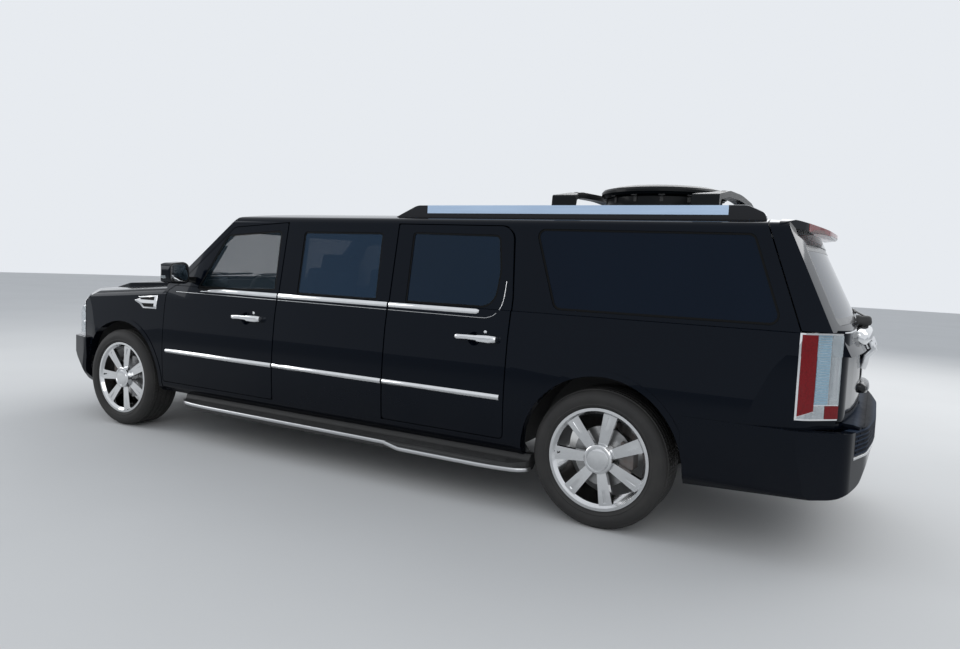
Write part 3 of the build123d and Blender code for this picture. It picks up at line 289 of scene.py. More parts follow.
def tyre_finish():
    """Dark rubber with a grey bloom and dusty tread."""
    finish = Finish("tyre_rubber", specular_ior_level=0.35)
    bloom = finish.noise(7.0, 6.0)
    grain = finish.noise(500.0, 3.0)
    finish.feed(base_color=finish.blend(bloom, (0.011, 0.011, 0.012), (0.045, 0.043, 0.040)),
                roughness=0.62 + bloom * 0.25)
    return finish.bump(grain + bloom * 0.5, 0.0005)


def cast_metal_finish():
    """Rough cast iron and steel with surface rust."""
    finish = Finish("cast_metal", metallic=0.85)
    stain = finish.noise(22.0, 7.0)
    finish.feed(base_color=finish.blend(stain ** 2.0, grey(0.22), (0.16, 0.085, 0.05)),
                roughness=0.45 + stain * 0.35)
    return finish.bump(finish.noise(260.0, 4.0), 0.0006)


def disc_finish():
    """Brake disc steel, turned and lightly scored."""
    finish = Finish("disc_steel", metallic=1.0)
    score = finish.noise(40.0, 6.0, (1.0, 12.0, 1.0))
    finish.feed(base_color=finish.blend(score, grey(0.42), grey(0.25)), roughness=0.25 + score * 0.25)
    return finish.bump(score, 0.0002)


def exhaust_finish():
    """Heat-stained steel pipe."""
    finish = Finish("exhaust_steel", metallic=0.9)
    heat = finish.noise(5.0, 5.0)
    finish.feed(base_color=finish.blend(heat, (0.30, 0.27, 0.24), (0.14, 0.10, 0.08)),
                roughness=0.35 + heat * 0.3)
    return finish.bump(finish.noise(120.0, 4.0), 0.0004)


def plastic_finish(name, tone=0.014, rough=0.5, grain_scale=700.0, depth=0.0004):
    """Grained moulded plastic."""
    finish = Finish(name)
    grain = finish.cells(grain_scale)
    fade = finish.noise(4.0, 4.0)
    finish.feed(base_color=finish.blend(fade, grey(tone), grey(tone * 2.2)), roughness=rough + fade * 0.15)
    return finish.bump(grain, depth)


def gloss_black_finish():
    """Gloss black moulding with faint swirl marks."""
    finish = Finish("gloss_black", coat_weight=0.3, coat_roughness=0.05, specular_ior_level=0.2)
    swirl = finish.noise(9.0, 6.0)
    finish.feed(base_color=finish.blend(swirl, grey(0.004, 0.1), grey(0.010, 0.1)),
                roughness=0.18 + swirl * 0.15)
    return finish.bump(finish.noise(60.0), 0.00008)


def satin_black_finish():
    """Satin black moulding of the roof's bars and dome."""
    finish = Finish("satin_black", specular_ior_level=0.10, coat_weight=0.10, coat_roughness=0.12)
    swirl = finish.noise(9.0, 6.0)
    finish.feed(base_color=finish.blend(swirl, grey(0.0022, 0.4), grey(0.0045, 0.3)),
                roughness=0.30 + swirl * 0.15)
    return finish.bump(finish.noise(60.0), 0.00008)


def lens_finish(name, colour, dark, alpha):
    """Lamp lens: coloured plastic under a hard coat."""
    finish = Finish(name, ior=1.5, specular_ior_level=0.15, coat_weight=0.35, coat_roughness=0.02)
    prism = finish.cells(140.0)
    finish.feed(base_color=finish.blend(prism, colour, dark), roughness=0.08 + prism * 0.1,
                alpha=alpha + prism * 0.05)
    return finish.bump(prism, 0.0004)


def silver_finish():
    """Satin silver metal, brushed along the vehicle."""
    finish = Finish("satin_silver", metallic=1.0)
    brushed = finish.noise(70.0, 4.0, (0.04, 1.0, 1.0))
    finish.feed(base_color=finish.blend(brushed, grey(0.62, 0.015), grey(0.5, 0.01)),
                roughness=0.24 + brushed * 0.12)
    return finish.bump(brushed, 0.0001)


def rail_finish():
    """Roof rail: silver between its black tips; below a set height it is painted black as painted shade under the rail.
    """
    finish = Finish("roof_rail", specular_ior_level=0.3)
    brushed = finish.noise(70.0, 4.0, (0.04, 1.0, 1.0))
    along, up = finish.axis("X"), finish.axis("Z")
    # Silver only above 1.8155 m: the black below it is painted shade standing in for the shadow under the rail. The
    # black tips along x are the rail's own colour.
    bright = finish.above(along, RAIL_SILVER[0]) * finish.above(RAIL_SILVER[1], along) * finish.above(up, 1.8155)
    silver = finish.blend(brushed, (0.52, 0.66, 0.84), (0.42, 0.54, 0.71))
    finish.feed(base_color=finish.blend(bright, (0.004, 0.005, 0.008), silver), metallic=bright,
                roughness=0.26 + brushed * 0.12)
    return finish.bump(brushed, 0.0001)


def leather_finish(name="seat_leather", tone=0.022):
    """Black leather with pebbled grain."""
    finish = Finish(name, specular_ior_level=0.45)
    pebble = finish.cells(420.0)
    crease = finish.noise(26.0, 5.0)
    finish.feed(base_color=finish.blend(crease, grey(tone), grey(tone * 1.9)),
                roughness=0.42 + crease * 0.2)
    return finish.bump(pebble * 0.6 + crease, 0.0007)


def mesh_finish():
    """Black moulded mesh behind the openings."""
    finish = Finish("black_mesh", roughness=0.6)
    cell = finish.cells(120.0)
    finish.feed(base_color=finish.blend(cell, grey(0.003), grey(0.02)))
    return finish.bump(cell, 0.004)


def pad_finish():
    """Ribbed rubber of the step pads."""
    finish = Finish("step_rubber", specular_ior_level=0.3)
    wear = finish.noise(12.0, 6.0)
    finish.feed(base_color=finish.blend(wear, grey(0.013), grey(0.05)), roughness=0.6 + wear * 0.25)
    return finish.bump(finish.noise(420.0, 3.0), 0.0005)


def step_finish():
    """Ribbed black moulding of the rear step, its ribs lying along the bumper, with a painted bluish sheen on each rib.
    """
    finish = Finish("step_moulding", specular_ior_level=0.06, specular_tint=(0.5, 0.7, 1.0, 1.0))
    level = finish.height() * 270.0
    rib_relief_and_sheen = level.maths("SINE", level, 0.0) * 0.5 + 0.5
    # Base colour lighter and bluer along each rib: painted sheen. The same wave also gives the ribs their relief
    # through the bump.
    finish.feed(base_color=finish.blend(rib_relief_and_sheen ** 2.0, (0.0012, 0.002, 0.005), (0.014, 0.024, 0.044)),
                roughness=0.5 + finish.noise(30.0) * 0.2)
    return finish.bump(rib_relief_and_sheen, 0.003)


def seal_finish():
    """Matt black rubber round the windows."""
    finish = Finish("window_rubber", specular_ior_level=0.12)
    bloom = finish.noise(25.0, 4.0)
    finish.feed(base_color=finish.blend(bloom, grey(0.0012, 0.2), grey(0.0035, 0.1)), roughness=0.5 + bloom * 0.2)
    return finish.bump(finish.noise(300.0), 0.0002)


FINISHES = {
    "paint": paint_finish,
    "chassis": frame_paint_finish,
    "carpet": floor_carpet_finish,
    "screen": lambda: glass_finish("screen_glass", (0.010, 0.016, 0.014), 0.16, 1.6),
    "side": lambda: glass_finish("side_glass", (0.006, 0.011, 0.014), 0.48, 1.6),
    "tinted": lambda: glass_finish("tinted_glass", (0.006, 0.016, 0.034), 0.80, 1.6),
    "privacy": lambda: glass_finish("privacy_glass", (0.0008, 0.003, 0.010), 0.92, 1.6),
    "blank": blank_panel_finish,
    "wheel": lambda: chrome_finish("wheel_chrome", 0.74, 0.07, 0.25),
    "chrome": lambda: chrome_finish("bright_trim"),
    "rubber": tyre_finish,
    "cast": cast_metal_finish,
    "disc": disc_finish,
    "exhaust": exhaust_finish,
    "plastic": lambda: plastic_finish("black_plastic"),
    "cabin": lambda: plastic_finish("cabin_plastic", 0.018, 0.55, 900.0),
    "gloss": gloss_black_finish,
    "satin": satin_black_finish,
    "clear": lambda: lens_finish("clear_lens", (0.70, 0.76, 0.78), (0.50, 0.56, 0.60), 0.30),
    "outer": lambda: lens_finish("lamp_cover", (0.60, 0.64, 0.67), (0.50, 0.54, 0.58), 0.06),
    "red": lambda: lens_finish("red_lens", (0.22, 0.002, 0.006), (0.12, 0.001, 0.003), 0.95),
    "column": lambda: lens_finish("ribbed_lens", (0.34, 0.50, 0.60), (0.24, 0.38, 0.48), 0.85),
    "bowl": lambda: chrome_finish("lamp_bowl", 0.55, 0.10, 0.10),
    "mirror": lambda: chrome_finish("mirror_glass", 0.62, 0.015, 0.02),
    "rail": rail_finish,
    "silver": silver_finish,
    "headliner": lambda: plastic_finish("headliner_cloth", 0.16, 0.9, 1200.0, 0.0006),
    "card": lambda: plastic_finish("door_card", 0.016, 0.6, 600.0, 0.0005),
    "leather": leather_finish,
    "mesh": mesh_finish,
    "pad": pad_finish,
    "step": step_finish,
    "seal": seal_finish,
}
RAIL_SILVER = (-2.496, -0.536)
NODE_FINISHES = {
    "paint": ["side_frames", "stretch_panels", "rear_quarters", "front_fenders", "roof_panel", "front_bumper",
              "rear_bumper", "hood", "liftgate", "mirror_left", "mirror_right", "door_front_left",
              "door_front_right", "door_rear_left", "door_rear_right"],
    "chassis": ["chassis_frame"],
    "carpet": ["floor_pan"],
    "screen": ["windscreen"],
    "side": ["door_glass_front_left", "door_glass_front_right"],
    "tinted": ["stretch_glass"],
    "privacy": ["liftgate_glass", "door_glass_rear_left", "door_glass_rear_right"],
    "blank": ["quarter_glass"],
    "wheel": [f"wheel_{end}_{side}" for end in ENDS for side in SIDES],
    "chrome": ["grille", "tail_lamps"],
    "rubber": [f"tyre_{end}_{side}" for end in ENDS for side in SIDES],
    "cast": ["engine_block", "driveline", "rear_axle", "front_suspension", "knuckle_left", "knuckle_right"],
    "disc": [f"brake_disc_{end}_{side}" for end in ENDS for side in SIDES],
    "exhaust": ["exhaust"],
    "plastic": ["wheel_liners", "cowl_panel", "running_boards"],
    "satin": ["roof_crossbars", "roof_dome"],
    "clear": ["headlamps"],
    "rail": ["roof_rails"],
    "leather": ["front_seats", "rear_seats", "steering_wheel"],
    "cabin": ["dashboard"],
}
finishes = {}


def shape_of(node):
    """Ray-casting tree of a CAD node."""
    mesh = frame["nodes"][node].data
    return BVHTree.FromPolygons([v.co for v in mesh.vertices], [tuple(p.vertices) for p in mesh.polygons])


shape_trees = {}


def skin(node, start, direction):
    """Point where a ray from outside first meets a CAD node."""
    tree = shape_trees.setdefault(node, shape_of(node))
    where = tree.ray_cast(Vector(start), Vector(direction))[0]
    if where is None:
        raise RuntimeError(f"no surface of {node} lies from {start} along {direction}")
    return where


def flank_y(z):
    """Distance of the body's flank from the middle plane at a height."""
    return skin("stretch_panels", (0.1, 1.5, z), (0, -1, 0)).y


def tail_at(node, y, z):
    """Rearmost x of a node at a place seen from behind."""
    return skin(node, (-4.0, y, z), (1, 0, 0)).x


def nose_at(node, y, z):
    """Foremost x of a node at a place seen from the front."""
    return skin(node, (4.0, y, z), (-1, 0, 0)).x


def piece(name, bm, body, finish, sharp_deg=35.0, replaces=()):
    """Turns a bmesh into a piece that rides on a body."""
    mesh = bpy.data.meshes.new(name)
    bm.to_mesh(mesh)
    bm.free()
    mesh.materials.append(finishes[finish].material)
    for polygon in mesh.polygons:
        polygon.use_smooth = True
    mesh.set_sharp_from_angle(angle=radians(sharp_deg))
    thing = bpy.data.objects.new(name, mesh)
    bpy.context.scene.collection.objects.link(thing)
    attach(thing, body)
    if replaces:
        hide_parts(*replaces)
    return thing


def tidy(bm, side=1.0):
    """Mirrors a left-hand form if asked, merges doubles and points its faces outwards."""
    bmesh.ops.scale(bm, vec=(1.0, side, 1.0), verts=bm.verts)
    bmesh.ops.remove_doubles(bm, verts=bm.verts, dist=0.00002)
    bmesh.ops.recalc_face_normals(bm, faces=bm.faces)
    return bm


def lofted(bm, rings):
    """Closed form through rings of points, capped at both ends."""
    loops = []
    for ring in rings:
        corners = [bm.verts.new(point) for point in ring]
        loops.append([bm.edges.new((corners[i - 1], corners[i])) for i in range(len(corners))])
    for first, second in zip(loops, loops[1:]):
        bmesh.ops.bridge_loops(bm, edges=first + second)
    for end in (loops[0], loops[-1]):
        bmesh.ops.contextual_create(bm, geom=end)
    return bm


def pushed(bm, outline, along):
    """Solid made by pushing an outline along a vector."""
    face = bm.faces.new([bm.verts.new(point) for point in outline])
    made = bmesh.ops.extrude_face_region(bm, geom=[face])["geom"]
    bmesh.ops.translate(bm, vec=along, verts=[v for v in made if isinstance(v, bmesh.types.BMVert)])
    return bm


def box(bm, low, high):
    """Box between two corners."""
    centre = (Vector(low) + Vector(high)) / 2
    made = bmesh.ops.create_cube(bm, size=1.0)["verts"]
    bmesh.ops.scale(bm, vec=Vector(high) - Vector(low), verts=made)
    bmesh.ops.translate(bm, vec=centre, verts=made)
    return made


def softened(bm, width, segments=2, least_deg=40.0):
    """Bevels every edge that is sharper than an angle."""
    sharp = [e for e in bm.edges if len(e.link_faces) == 2 and e.calc_face_angle() > radians(least_deg)]
    bmesh.ops.bevel(bm, geom=sharp, offset=width, offset_type="OFFSET", segments=segments, profile=0.5,
                    affect="EDGES", clamp_overlap=True, material=-1)
    return bm


def turned(bm, profile, centre, steps, closed=True, axis=(0.0, 1.0, 0.0)):
    """Form turned about an axis, from rows of radius and distance along the axis."""
    centre, axis = Vector(centre), Vector(axis).normalized()
    out = Vector((0, 0, 1)) if abs(axis.z) < 0.9 else Vector((1, 0, 0))
    out = (out - axis * out.dot(axis)).normalized()
    corners = [bm.verts.new(centre + axis * along + out * radius) for radius, along in profile]
    pairs = list(zip(corners, corners[1:])) + ([(corners[-1], corners[0])] if closed else [])
    edges = [bm.edges.new(pair) for pair in pairs]
    bmesh.ops.spin(bm, geom=corners + edges, cent=centre, axis=axis, angle=2 * pi, steps=steps, use_merge=True)
    return bm


def rounded_bar(width, height, corner=0.3, count=4):
    """Outline of a rounded rectangle about the origin, as rows of two distances."""
    radius = corner * min(width, height)
    rows = []
    for quarter, (sx, sy) in enumerate(((1, 1), (-1, 1), (-1, -1), (1, -1))):
        for step in range(count + 1):
            angle = (quarter + step / count) * pi / 2
            rows.append((sx * (width / 2 - radius) + radius * cos(angle),
                         sy * (height / 2 - radius) + radius * sin(angle)))
    return rows


def curved(points, steps=6):
    """Points of a smooth line through given points."""
    points = [Vector(point) for point in points]
    line = []
    for index, (start, end) in enumerate(zip(points, points[1:])):
        before, after = points[max(index - 1, 0)], points[min(index + 2, len(points) - 1)]
        line += interpolate_bezier(start, start + (end - before) / 6, end - (after - start) / 6, end,
                                   steps + 1)[:-1]
    return line + [points[-1]]


def swept(bm, points, outline, up=(0.0, 0.0, 1.0)):
    """Bar with a given outline, run along points. A list of outlines gives one for each point."""
    rings = []
    for index, point in enumerate(points):
        before, after = Vector(points[max(index - 1, 0)]), Vector(points[min(index + 1, len(points) - 1)])
        along = (after - before).normalized()
        across = along.cross(Vector(up)).normalized()
        over = across.cross(along)
        rows = outline[index] if isinstance(outline[0], list) else outline
        rings.append([Vector(point) + across * a + over * b for a, b in rows])
    return lofted(bm, rings)


def between(low, high):
    """Cutting planes that keep what lies between two corners."""
    planes = []
    for axis in range(3):
        away = Vector((0, 0, 0))
        away[axis] = 1.0
        planes += [(Vector(low), -away), (Vector(high), away)]
    return planes


def copied(node, chosen, planes=()):
    """Copy of a CAD node's faces that pass a test, cut by planes."""
    bm = bmesh.new()
    bm.from_mesh(frame["nodes"][node].data)
    bmesh.ops.remove_doubles(bm, verts=bm.verts, dist=0.00002)
    return trimmed(bm, chosen, planes)


def trimmed(bm, chosen, planes=()):
    """Keeps the faces that pass a test, cut by planes."""
    bm.normal_update()
    bmesh.ops.delete(bm, geom=[face for face in bm.faces if not chosen(face)], context="FACES")
    for place, away in planes:
        bmesh.ops.bisect_plane(bm, geom=bm.verts[:] + bm.edges[:] + bm.faces[:], plane_co=place, plane_no=away,
                               clear_outer=True)
    if not bm.faces:
        raise RuntimeError("no face was chosen")
    return bm


def thickened(bm, lift, thickness):
    """Lifts a sheet off its surface and gives it a wall: outwards if thickness is above 0."""
    bm.normal_update()
    for vert in bm.verts:
        vert.co += vert.normal * lift
    made = bmesh.ops.extrude_face_region(bm, geom=bm.faces[:], use_keep_orig=True)["geom"]
    for vert in made:
        if isinstance(vert, bmesh.types.BMVert):
            vert.co += vert.normal * thickness
    return bm


def shell(node, chosen, planes=(), lift=0.0, thickness=0.002):
    """Thin skin over a CAD node's faces that pass a test."""
    return thickened(copied(node, chosen, planes), lift, thickness)


def edge_strip(node, chosen, width, lift, thickness, planes=()):
    """Strip of a given width along the edge of a CAD node's chosen faces."""
    bm = copied(node, chosen, planes)
    ring = bmesh.ops.inset_region(bm, faces=bm.faces[:], use_boundary=True, use_even_offset=True,
                                  thickness=width)["faces"]
    kept = set(ring)
    bmesh.ops.delete(bm, geom=[face for face in bm.faces if face not in kept], context="FACES")
    return thickened(bm, lift, thickness)


def joined(*parts):
    """One form made of several."""
    whole = parts[0]
    for part in parts[1:]:
        held = bpy.data.meshes.new("held")
        part.to_mesh(held)
        part.free()
        whole.from_mesh(held)
        bpy.data.meshes.remove(held)
    return whole


def plate(outline, thickness, centre, across=(0.0, 1.0, 0.0), over=(0.0, 0.0, 1.0)):
    """Flat plate from an outline in two directions about a centre, thick along the third."""
    across, over, centre = Vector(across).normalized(), Vector(over).normalized(), Vector(centre)
    points = [centre + across * a + over * b for a, b in outline]
    return pushed(bmesh.new(), points, across.cross(over) * thickness)


def wheel_place(end, side):
    """Middle of a wheel."""
    low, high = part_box(f"tyre_{end}_{side}")
    return (low + high) / 2


class LIMO_OT_finishes(bpy.types.Operator):
    """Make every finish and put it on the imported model's pieces"""

    bl_idname = "limo.finishes"
    bl_label = "Finishes"

    def execute(self, context):
        for key, make in FINISHES.items():
            finishes[key] = make()
        for key, nodes in NODE_FINISHES.items():
            for node in nodes:
                slots = frame["nodes"][node].material_slots
                for slot in slots:
                    slot.material = finishes[key].material
        return {"FINISHED"}


TREAD_RIBS = ((-0.104, -0.072), (-0.064, -0.024), (-0.016, 0.016), (0.024, 0.064), (0.072, 0.104))
TREAD_BASE = 0.0065
SIDEWALL_ROWS = [
    (RIM_RADIUS + 0.0005, 0.116), (RIM_RADIUS + 0.012, 0.134), (RIM_RADIUS + 0.020, 0.139),
    (RIM_RADIUS + 0.026, 0.1375), (RIM_RADIUS + 0.040, 0.1418), (RIM_RADIUS + 0.056, 0.1425),
    (RIM_RADIUS + 0.059, 0.1412), (RIM_RADIUS + 0.076, 0.1378), (RIM_RADIUS + 0.079, 0.1355),
    (TYRE_RADIUS - 0.016, 0.125), (TYRE_RADIUS - 0.0095, 0.114),
]


def tyre_form(centre, steps):
    """Tyre with a ribbed, blocked tread and stepped sidewalls."""
    bm = bmesh.new()
    base = TYRE_RADIUS - TREAD_BASE
    outer = [(base, along) for rib in reversed(TREAD_RIBS) for along in reversed(rib)]
    left = SIDEWALL_ROWS
    right = [(radius, -along) for radius, along in reversed(SIDEWALL_ROWS)]
    turned(bm, left + outer + right, centre, steps)
    tidy(bm)
    ribs = []
    for face in bm.faces:
        middle = face.calc_center_median() - Vector(centre)
        flat = Vector((middle.x, 0, middle.z)).length > base * cos(pi / steps) - 0.0003
        if flat and any(low < middle.y < high for low, high in TREAD_RIBS):
            ribs.append(face)
    bmesh.ops.inset_individual(bm, faces=ribs, thickness=0.0016, depth=TREAD_BASE - 0.0006)
    return bm


class LIMO_OT_tyres(bpy.types.Operator):
    """Build the treaded tyres in place of the plain ones"""

    bl_idname = "limo.tyres"
    bl_label = "Tyres"

    def execute(self, context):
        for end in ENDS:
            for side in SIDES:
                name = f"{end}_{side}"
                bm = tyre_form(wheel_place(end, side), context.scene.limousine.tread_blocks)
                piece(f"treaded_tyre_{name}", bm, f"wheel_{name}", "rubber", 28.0,
                      [f"tyre_{name}"])
        return {"FINISHED"}


CAP_ROWS = [(0.0, 0.0150), (0.024, 0.0147), (0.046, 0.0135), (0.060, 0.0112), (0.0630, 0.0080), (0.0660, 0.0076),
            (0.0690, 0.0110), (0.0790, 0.0100), (0.0835, 0.0070), (0.0850, 0.0020), (0.0850, -0.0080)]


class LIMO_OT_wheel_caps(bpy.types.Operator):
    """Build the bare centre caps and the valve stems"""

    bl_idname = "limo.wheel_caps"
    bl_label = "Wheel caps"

    def execute(self, context):
        for end in ENDS:
            for side, sign in SIDES.items():
                name = f"{end}_{side}"
                centre = wheel_place(end, side)
                face_y = skin(f"wheel_{name}", (centre.x, sign * 1.5, centre.z), (0, -sign, 0)).y
                bm = bmesh.new()
                rows = [(radius, sign * along) for radius, along in CAP_ROWS]
                turned(bm, rows, (centre.x, face_y, centre.z), 48, closed=False)
                piece(f"centre_cap_{name}", tidy(bm), f"wheel_{name}", "wheel", 25.0)
                bm = bmesh.new()
                stem = [(0.0, 0.034), (0.0042, 0.034), (0.0046, 0.020), (0.0036, 0.018), (0.0036, 0.0)]
                rows = [(radius, sign * along) for radius, along in stem]
                lip = (centre.x + 0.245, centre.y + sign * 0.086, centre.z)
                turned(bm, rows, lip, 10, closed=False)
                piece(f"valve_stem_{name}", tidy(bm), f"wheel_{name}", "plastic")
        return {"FINISHED"}


def moulding_rings(stations, proud, count=6):
    """Rings of a half-round moulding on the left side. Columns of stations: x, lowest and highest z."""
    rings = []
    for x, low, high in stations:
        ring = [(x, flank_y(low) - 0.003, low)]
        for step in range(count + 1):
            share = step / count
            z = low + (high - low) * share
            ring.append((x, flank_y(z) + proud * (0.25 + 0.75 * sin(pi * share)), z))
        ring.append((x, flank_y(high) - 0.003, high))
        rings.append(ring)
    return rings


class LIMO_OT_side_mouldings(bpy.types.Operator):
    """Build the bright mouldings along the belt and the doors"""

    bl_idname = "limo.side_mouldings"
    bl_label = "Side mouldings"

    def execute(self, context):
        look = context.scene.limousine
        belt_low, belt_high = look.belt_height, look.belt_height + look.belt_width
        low, high = look.moulding_height, look.moulding_height + look.belt_width
        for side, sign in SIDES.items():
            front, middle, rear = (f"door_front_{side}", "stretch_panels", f"door_rear_{side}")
            bodies = {front: front, middle: "body", rear: rear}
            seams = {"front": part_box("door_front_left")[0].x, "middle_high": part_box("stretch_panels")[1].x,
                     "middle_low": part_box("stretch_panels")[0].x, "rear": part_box("door_rear_left")[1].x}
            belts = {
                front: [(seams["front"] + 0.002, belt_low, belt_high), (1.13, belt_low + 0.002, belt_high),
                        (1.27, belt_low + 0.001, belt_high - 0.010), (1.385, 1.179, 1.186)],
                middle: [(seams["middle_low"] + 0.002, belt_low, belt_high),
                         (seams["middle_high"] - 0.002, belt_low, belt_high)],
                rear: [(-1.095, belt_low + 0.011, belt_high - 0.006), (-1.075, belt_low, belt_high),
                       (seams["rear"] - 0.002, belt_low, belt_high)],
            }
            strips = {
                front: [(seams["front"] + 0.002, low, high), (1.732, low, high)],
                middle: [(seams["middle_low"] + 0.002, low, high), (seams["middle_high"] - 0.002, low, high)],
                rear: [(-1.281, low, high), (seams["rear"] - 0.002, low, high)],
            }
            for kind, rows, proud in (("belt", belts, 0.006), ("door", strips, 0.011)):
                for node, stations in rows.items():
                    bm = lofted(bmesh.new(), moulding_rings(stations, proud))
                    softened(bm, 0.0015, 2, 60.0)
                    tidy(bm, sign)
                    name = f"{kind}_moulding_{node.replace(f'_{side}', '')}_{side}"
                    piece(name, bm, bodies[node], "chrome")
            beads = {
                front: [(seams["front"] + 0.003, 1.163), (1.25, 1.164), (1.66, 1.165)],
                middle: [(seams["middle_low"] + 0.003, 1.161), (seams["middle_high"] - 0.003, 1.163)],
                rear: [(-1.256, 1.390), (-1.252, 1.290), (-1.236, 1.228), (-1.204, 1.184), (-1.160, 1.164),
                       (-1.100, 1.159), (-0.800, 1.160), (seams["rear"] - 0.003, 1.161)],
            }
            for node, rows in beads.items():
                path = curved([(x, skin(node.replace("_right", "_left"), (x, 1.5, z), (0, -1, 0)).y, z)
                               for x, z in rows], 3)
                bead = swept(bmesh.new(), path, rounded_bar(0.004, 0.005, 0.5, 2), up=(0, 1, 0))
                piece(f"bead_{node.replace(f'_{side}', '')}_{side}", tidy(bead, sign), bodies[node],
                      "silver")
        return {"FINISHED"}


HANDLE_ROWS = [  # distance along, inner and outer distance from the middle plane (0: the skin), height, rise
    (-0.146, 0.0, 1.0135, 0.022, 0.0), (-0.142, 0.0, 1.0270, 0.038, 0.0), (-0.130, 0.0, 1.0325, 0.045, 0.0),
    (-0.100, 1.0130, 1.0345, 0.047, 0.0), (-0.060, 1.0140, 1.0352, 0.046, 0.0), (-0.020, 1.0142, 1.0352, 0.043, 0.0),
    (-0.010, 1.0142, 1.0340, 0.034, 0.002), (0.050, 1.0140, 1.0338, 0.030, 0.003), (0.095, 1.0130, 1.0330, 0.030, 0.002),
    (0.112, 0.0, 1.0335, 0.034, 0.0), (0.128, 0.0, 1.0330, 0.036, 0.0), (0.140, 0.0, 1.0270, 0.030, 0.0),
    (0.145, 0.0, 1.0135, 0.018, 0.0),
]
HANDLE_PLACES = (("front", 0.840, 1.016), ("rear", -1.107, 1.036))


def handle_form(middle_x, height):
    """Bright pull handle over the door's strap, with a foot at each end."""
    rings = []
    for along, inner, outer, tall, rise in HANDLE_ROWS:
        inner = inner or flank_y(height) - 0.003
        rings.append([(middle_x + along, (inner + outer) / 2 + a, height + rise + b)
                      for a, b in rounded_bar(outer - inner, tall, 0.42)])
    return lofted(bmesh.new(), rings)


class LIMO_OT_handles(bpy.types.Operator):
    """Build the bright door handles and the key caps"""

    bl_idname = "limo.handles"
    bl_label = "Door handles"

    def execute(self, context):
        for end, middle_x, height in HANDLE_PLACES:
            for side, sign in SIDES.items():
                form = handle_form(middle_x, height)
                piece(f"handle_{end}_{side}", tidy(form, sign), f"door_{end}_{side}", "chrome")
                place = (middle_x - 0.050, flank_y(height + 0.038) - 0.002, height + 0.038)
                cap = turned(bmesh.new(), [(0.0, 0.005), (0.007, 0.005), (0.0105, 0.004), (0.0115, 0.0)], place, 20,
                             closed=False)
                piece(f"key_cap_{end}_{side}", tidy(cap, sign), f"door_{end}_{side}", "chrome")
        return {"FINISHED"}


class LIMO_OT_window_seals(bpy.types.Operator):
    """Build the rubber seals of the side windows and the dark borders of the screens"""

    bl_idname = "limo.window_seals"
    bl_label = "Window seals"

    def execute(self, context):
        for side, sign in SIDES.items():
            for end in ENDS:
                strip = edge_strip(f"door_glass_{end}_{side}", lambda face: face.normal.y * sign > 0.5, 0.012,
                                   0.0006, 0.003)
                piece(f"window_seal_{end}_{side}", tidy(strip), f"door_{end}_{side}", "seal")
            for node in ("stretch_glass", "quarter_glass"):
                strip = edge_strip(node, lambda face: face.normal.y * sign > 0.5, 0.012, 0.0004, 0.002)
                piece(f"{node}_seal_{side}", tidy(strip), "body", "seal")
        border = edge_strip("windscreen", lambda face: face.normal.x > 0.3, 0.045, 0.0003, 0.0008)
        piece("windscreen_border", tidy(border), "body", "gloss")
        border = edge_strip("liftgate_glass", lambda face: face.normal.x < -0.3, 0.038, 0.0003, 0.0008)
        piece("rear_glass_border", tidy(border), "liftgate", "gloss")
        return {"FINISHED"}


class LIMO_OT_roof_trim(bpy.types.Operator):
    """Build the rails' bright end caps, the bars' rubber strips and the clips round the dome"""

    bl_idname = "limo.roof_trim"
    bl_label = "Roof trim"

    def execute(self, context):
        low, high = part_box("roof_rails")
        for side, sign in SIDES.items():
            cap = shell("roof_rails", lambda face: face.normal.z > 0.35,
                        between((low.x - 0.01, 0.6, 1.795), (-2.496, 0.8, high.z + 0.01)), 0.0, 0.0020)
            piece(f"rail_end_{side}", tidy(cap, sign), "body", "silver")
        bar_low, bar_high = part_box("roof_crossbars")
        for name, x in (("rear", bar_low.x + 0.037), ("front", bar_high.x - 0.037)):
            path = [(x, y, skin("roof_crossbars", (x, y, 2.3), (0, 0, -1)).z)
                    for y in (-0.42, -0.28, -0.14, 0.0, 0.14, 0.28, 0.42)]
            strip = swept(bmesh.new(), path, rounded_bar(0.026, 0.005, 0.4, 2))
            piece(f"bar_strip_{name}", tidy(strip), "body", "pad")
        low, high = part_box("roof_dome")
        middle = (low + high) / 2
        clips = []
        for index in range(14):
            turn = Matrix.Rotation(index * 2 * pi / 14, 4, "Z")
            clip = bmesh.new()
            box(clip, (0.372, -0.020, high.z - 0.090), (0.3985, 0.020, high.z - 0.0785))
            box(clip, (0.372, -0.011, high.z - 0.128), (0.3800, 0.011, high.z - 0.088))
            softened(clip, 0.0015, 1)
            bmesh.ops.transform(clip, matrix=Matrix.Translation((middle.x, middle.y, 0)) @ turn, verts=clip.verts)
            clips.append(clip)
        piece("dome_clips", tidy(joined(*clips)), "body", "plastic")
        lip = turned(bmesh.new(), [(0.3995, 0.0), (0.4035, -0.0022), (0.4068, 0.0040), (0.4030, 0.0062)],
                     (middle.x, middle.y, high.z - 0.0795), 72, axis=(0, 0, 1))
        piece("dome_lip", tidy(lip), "body", "satin")
        return {"FINISHED"}


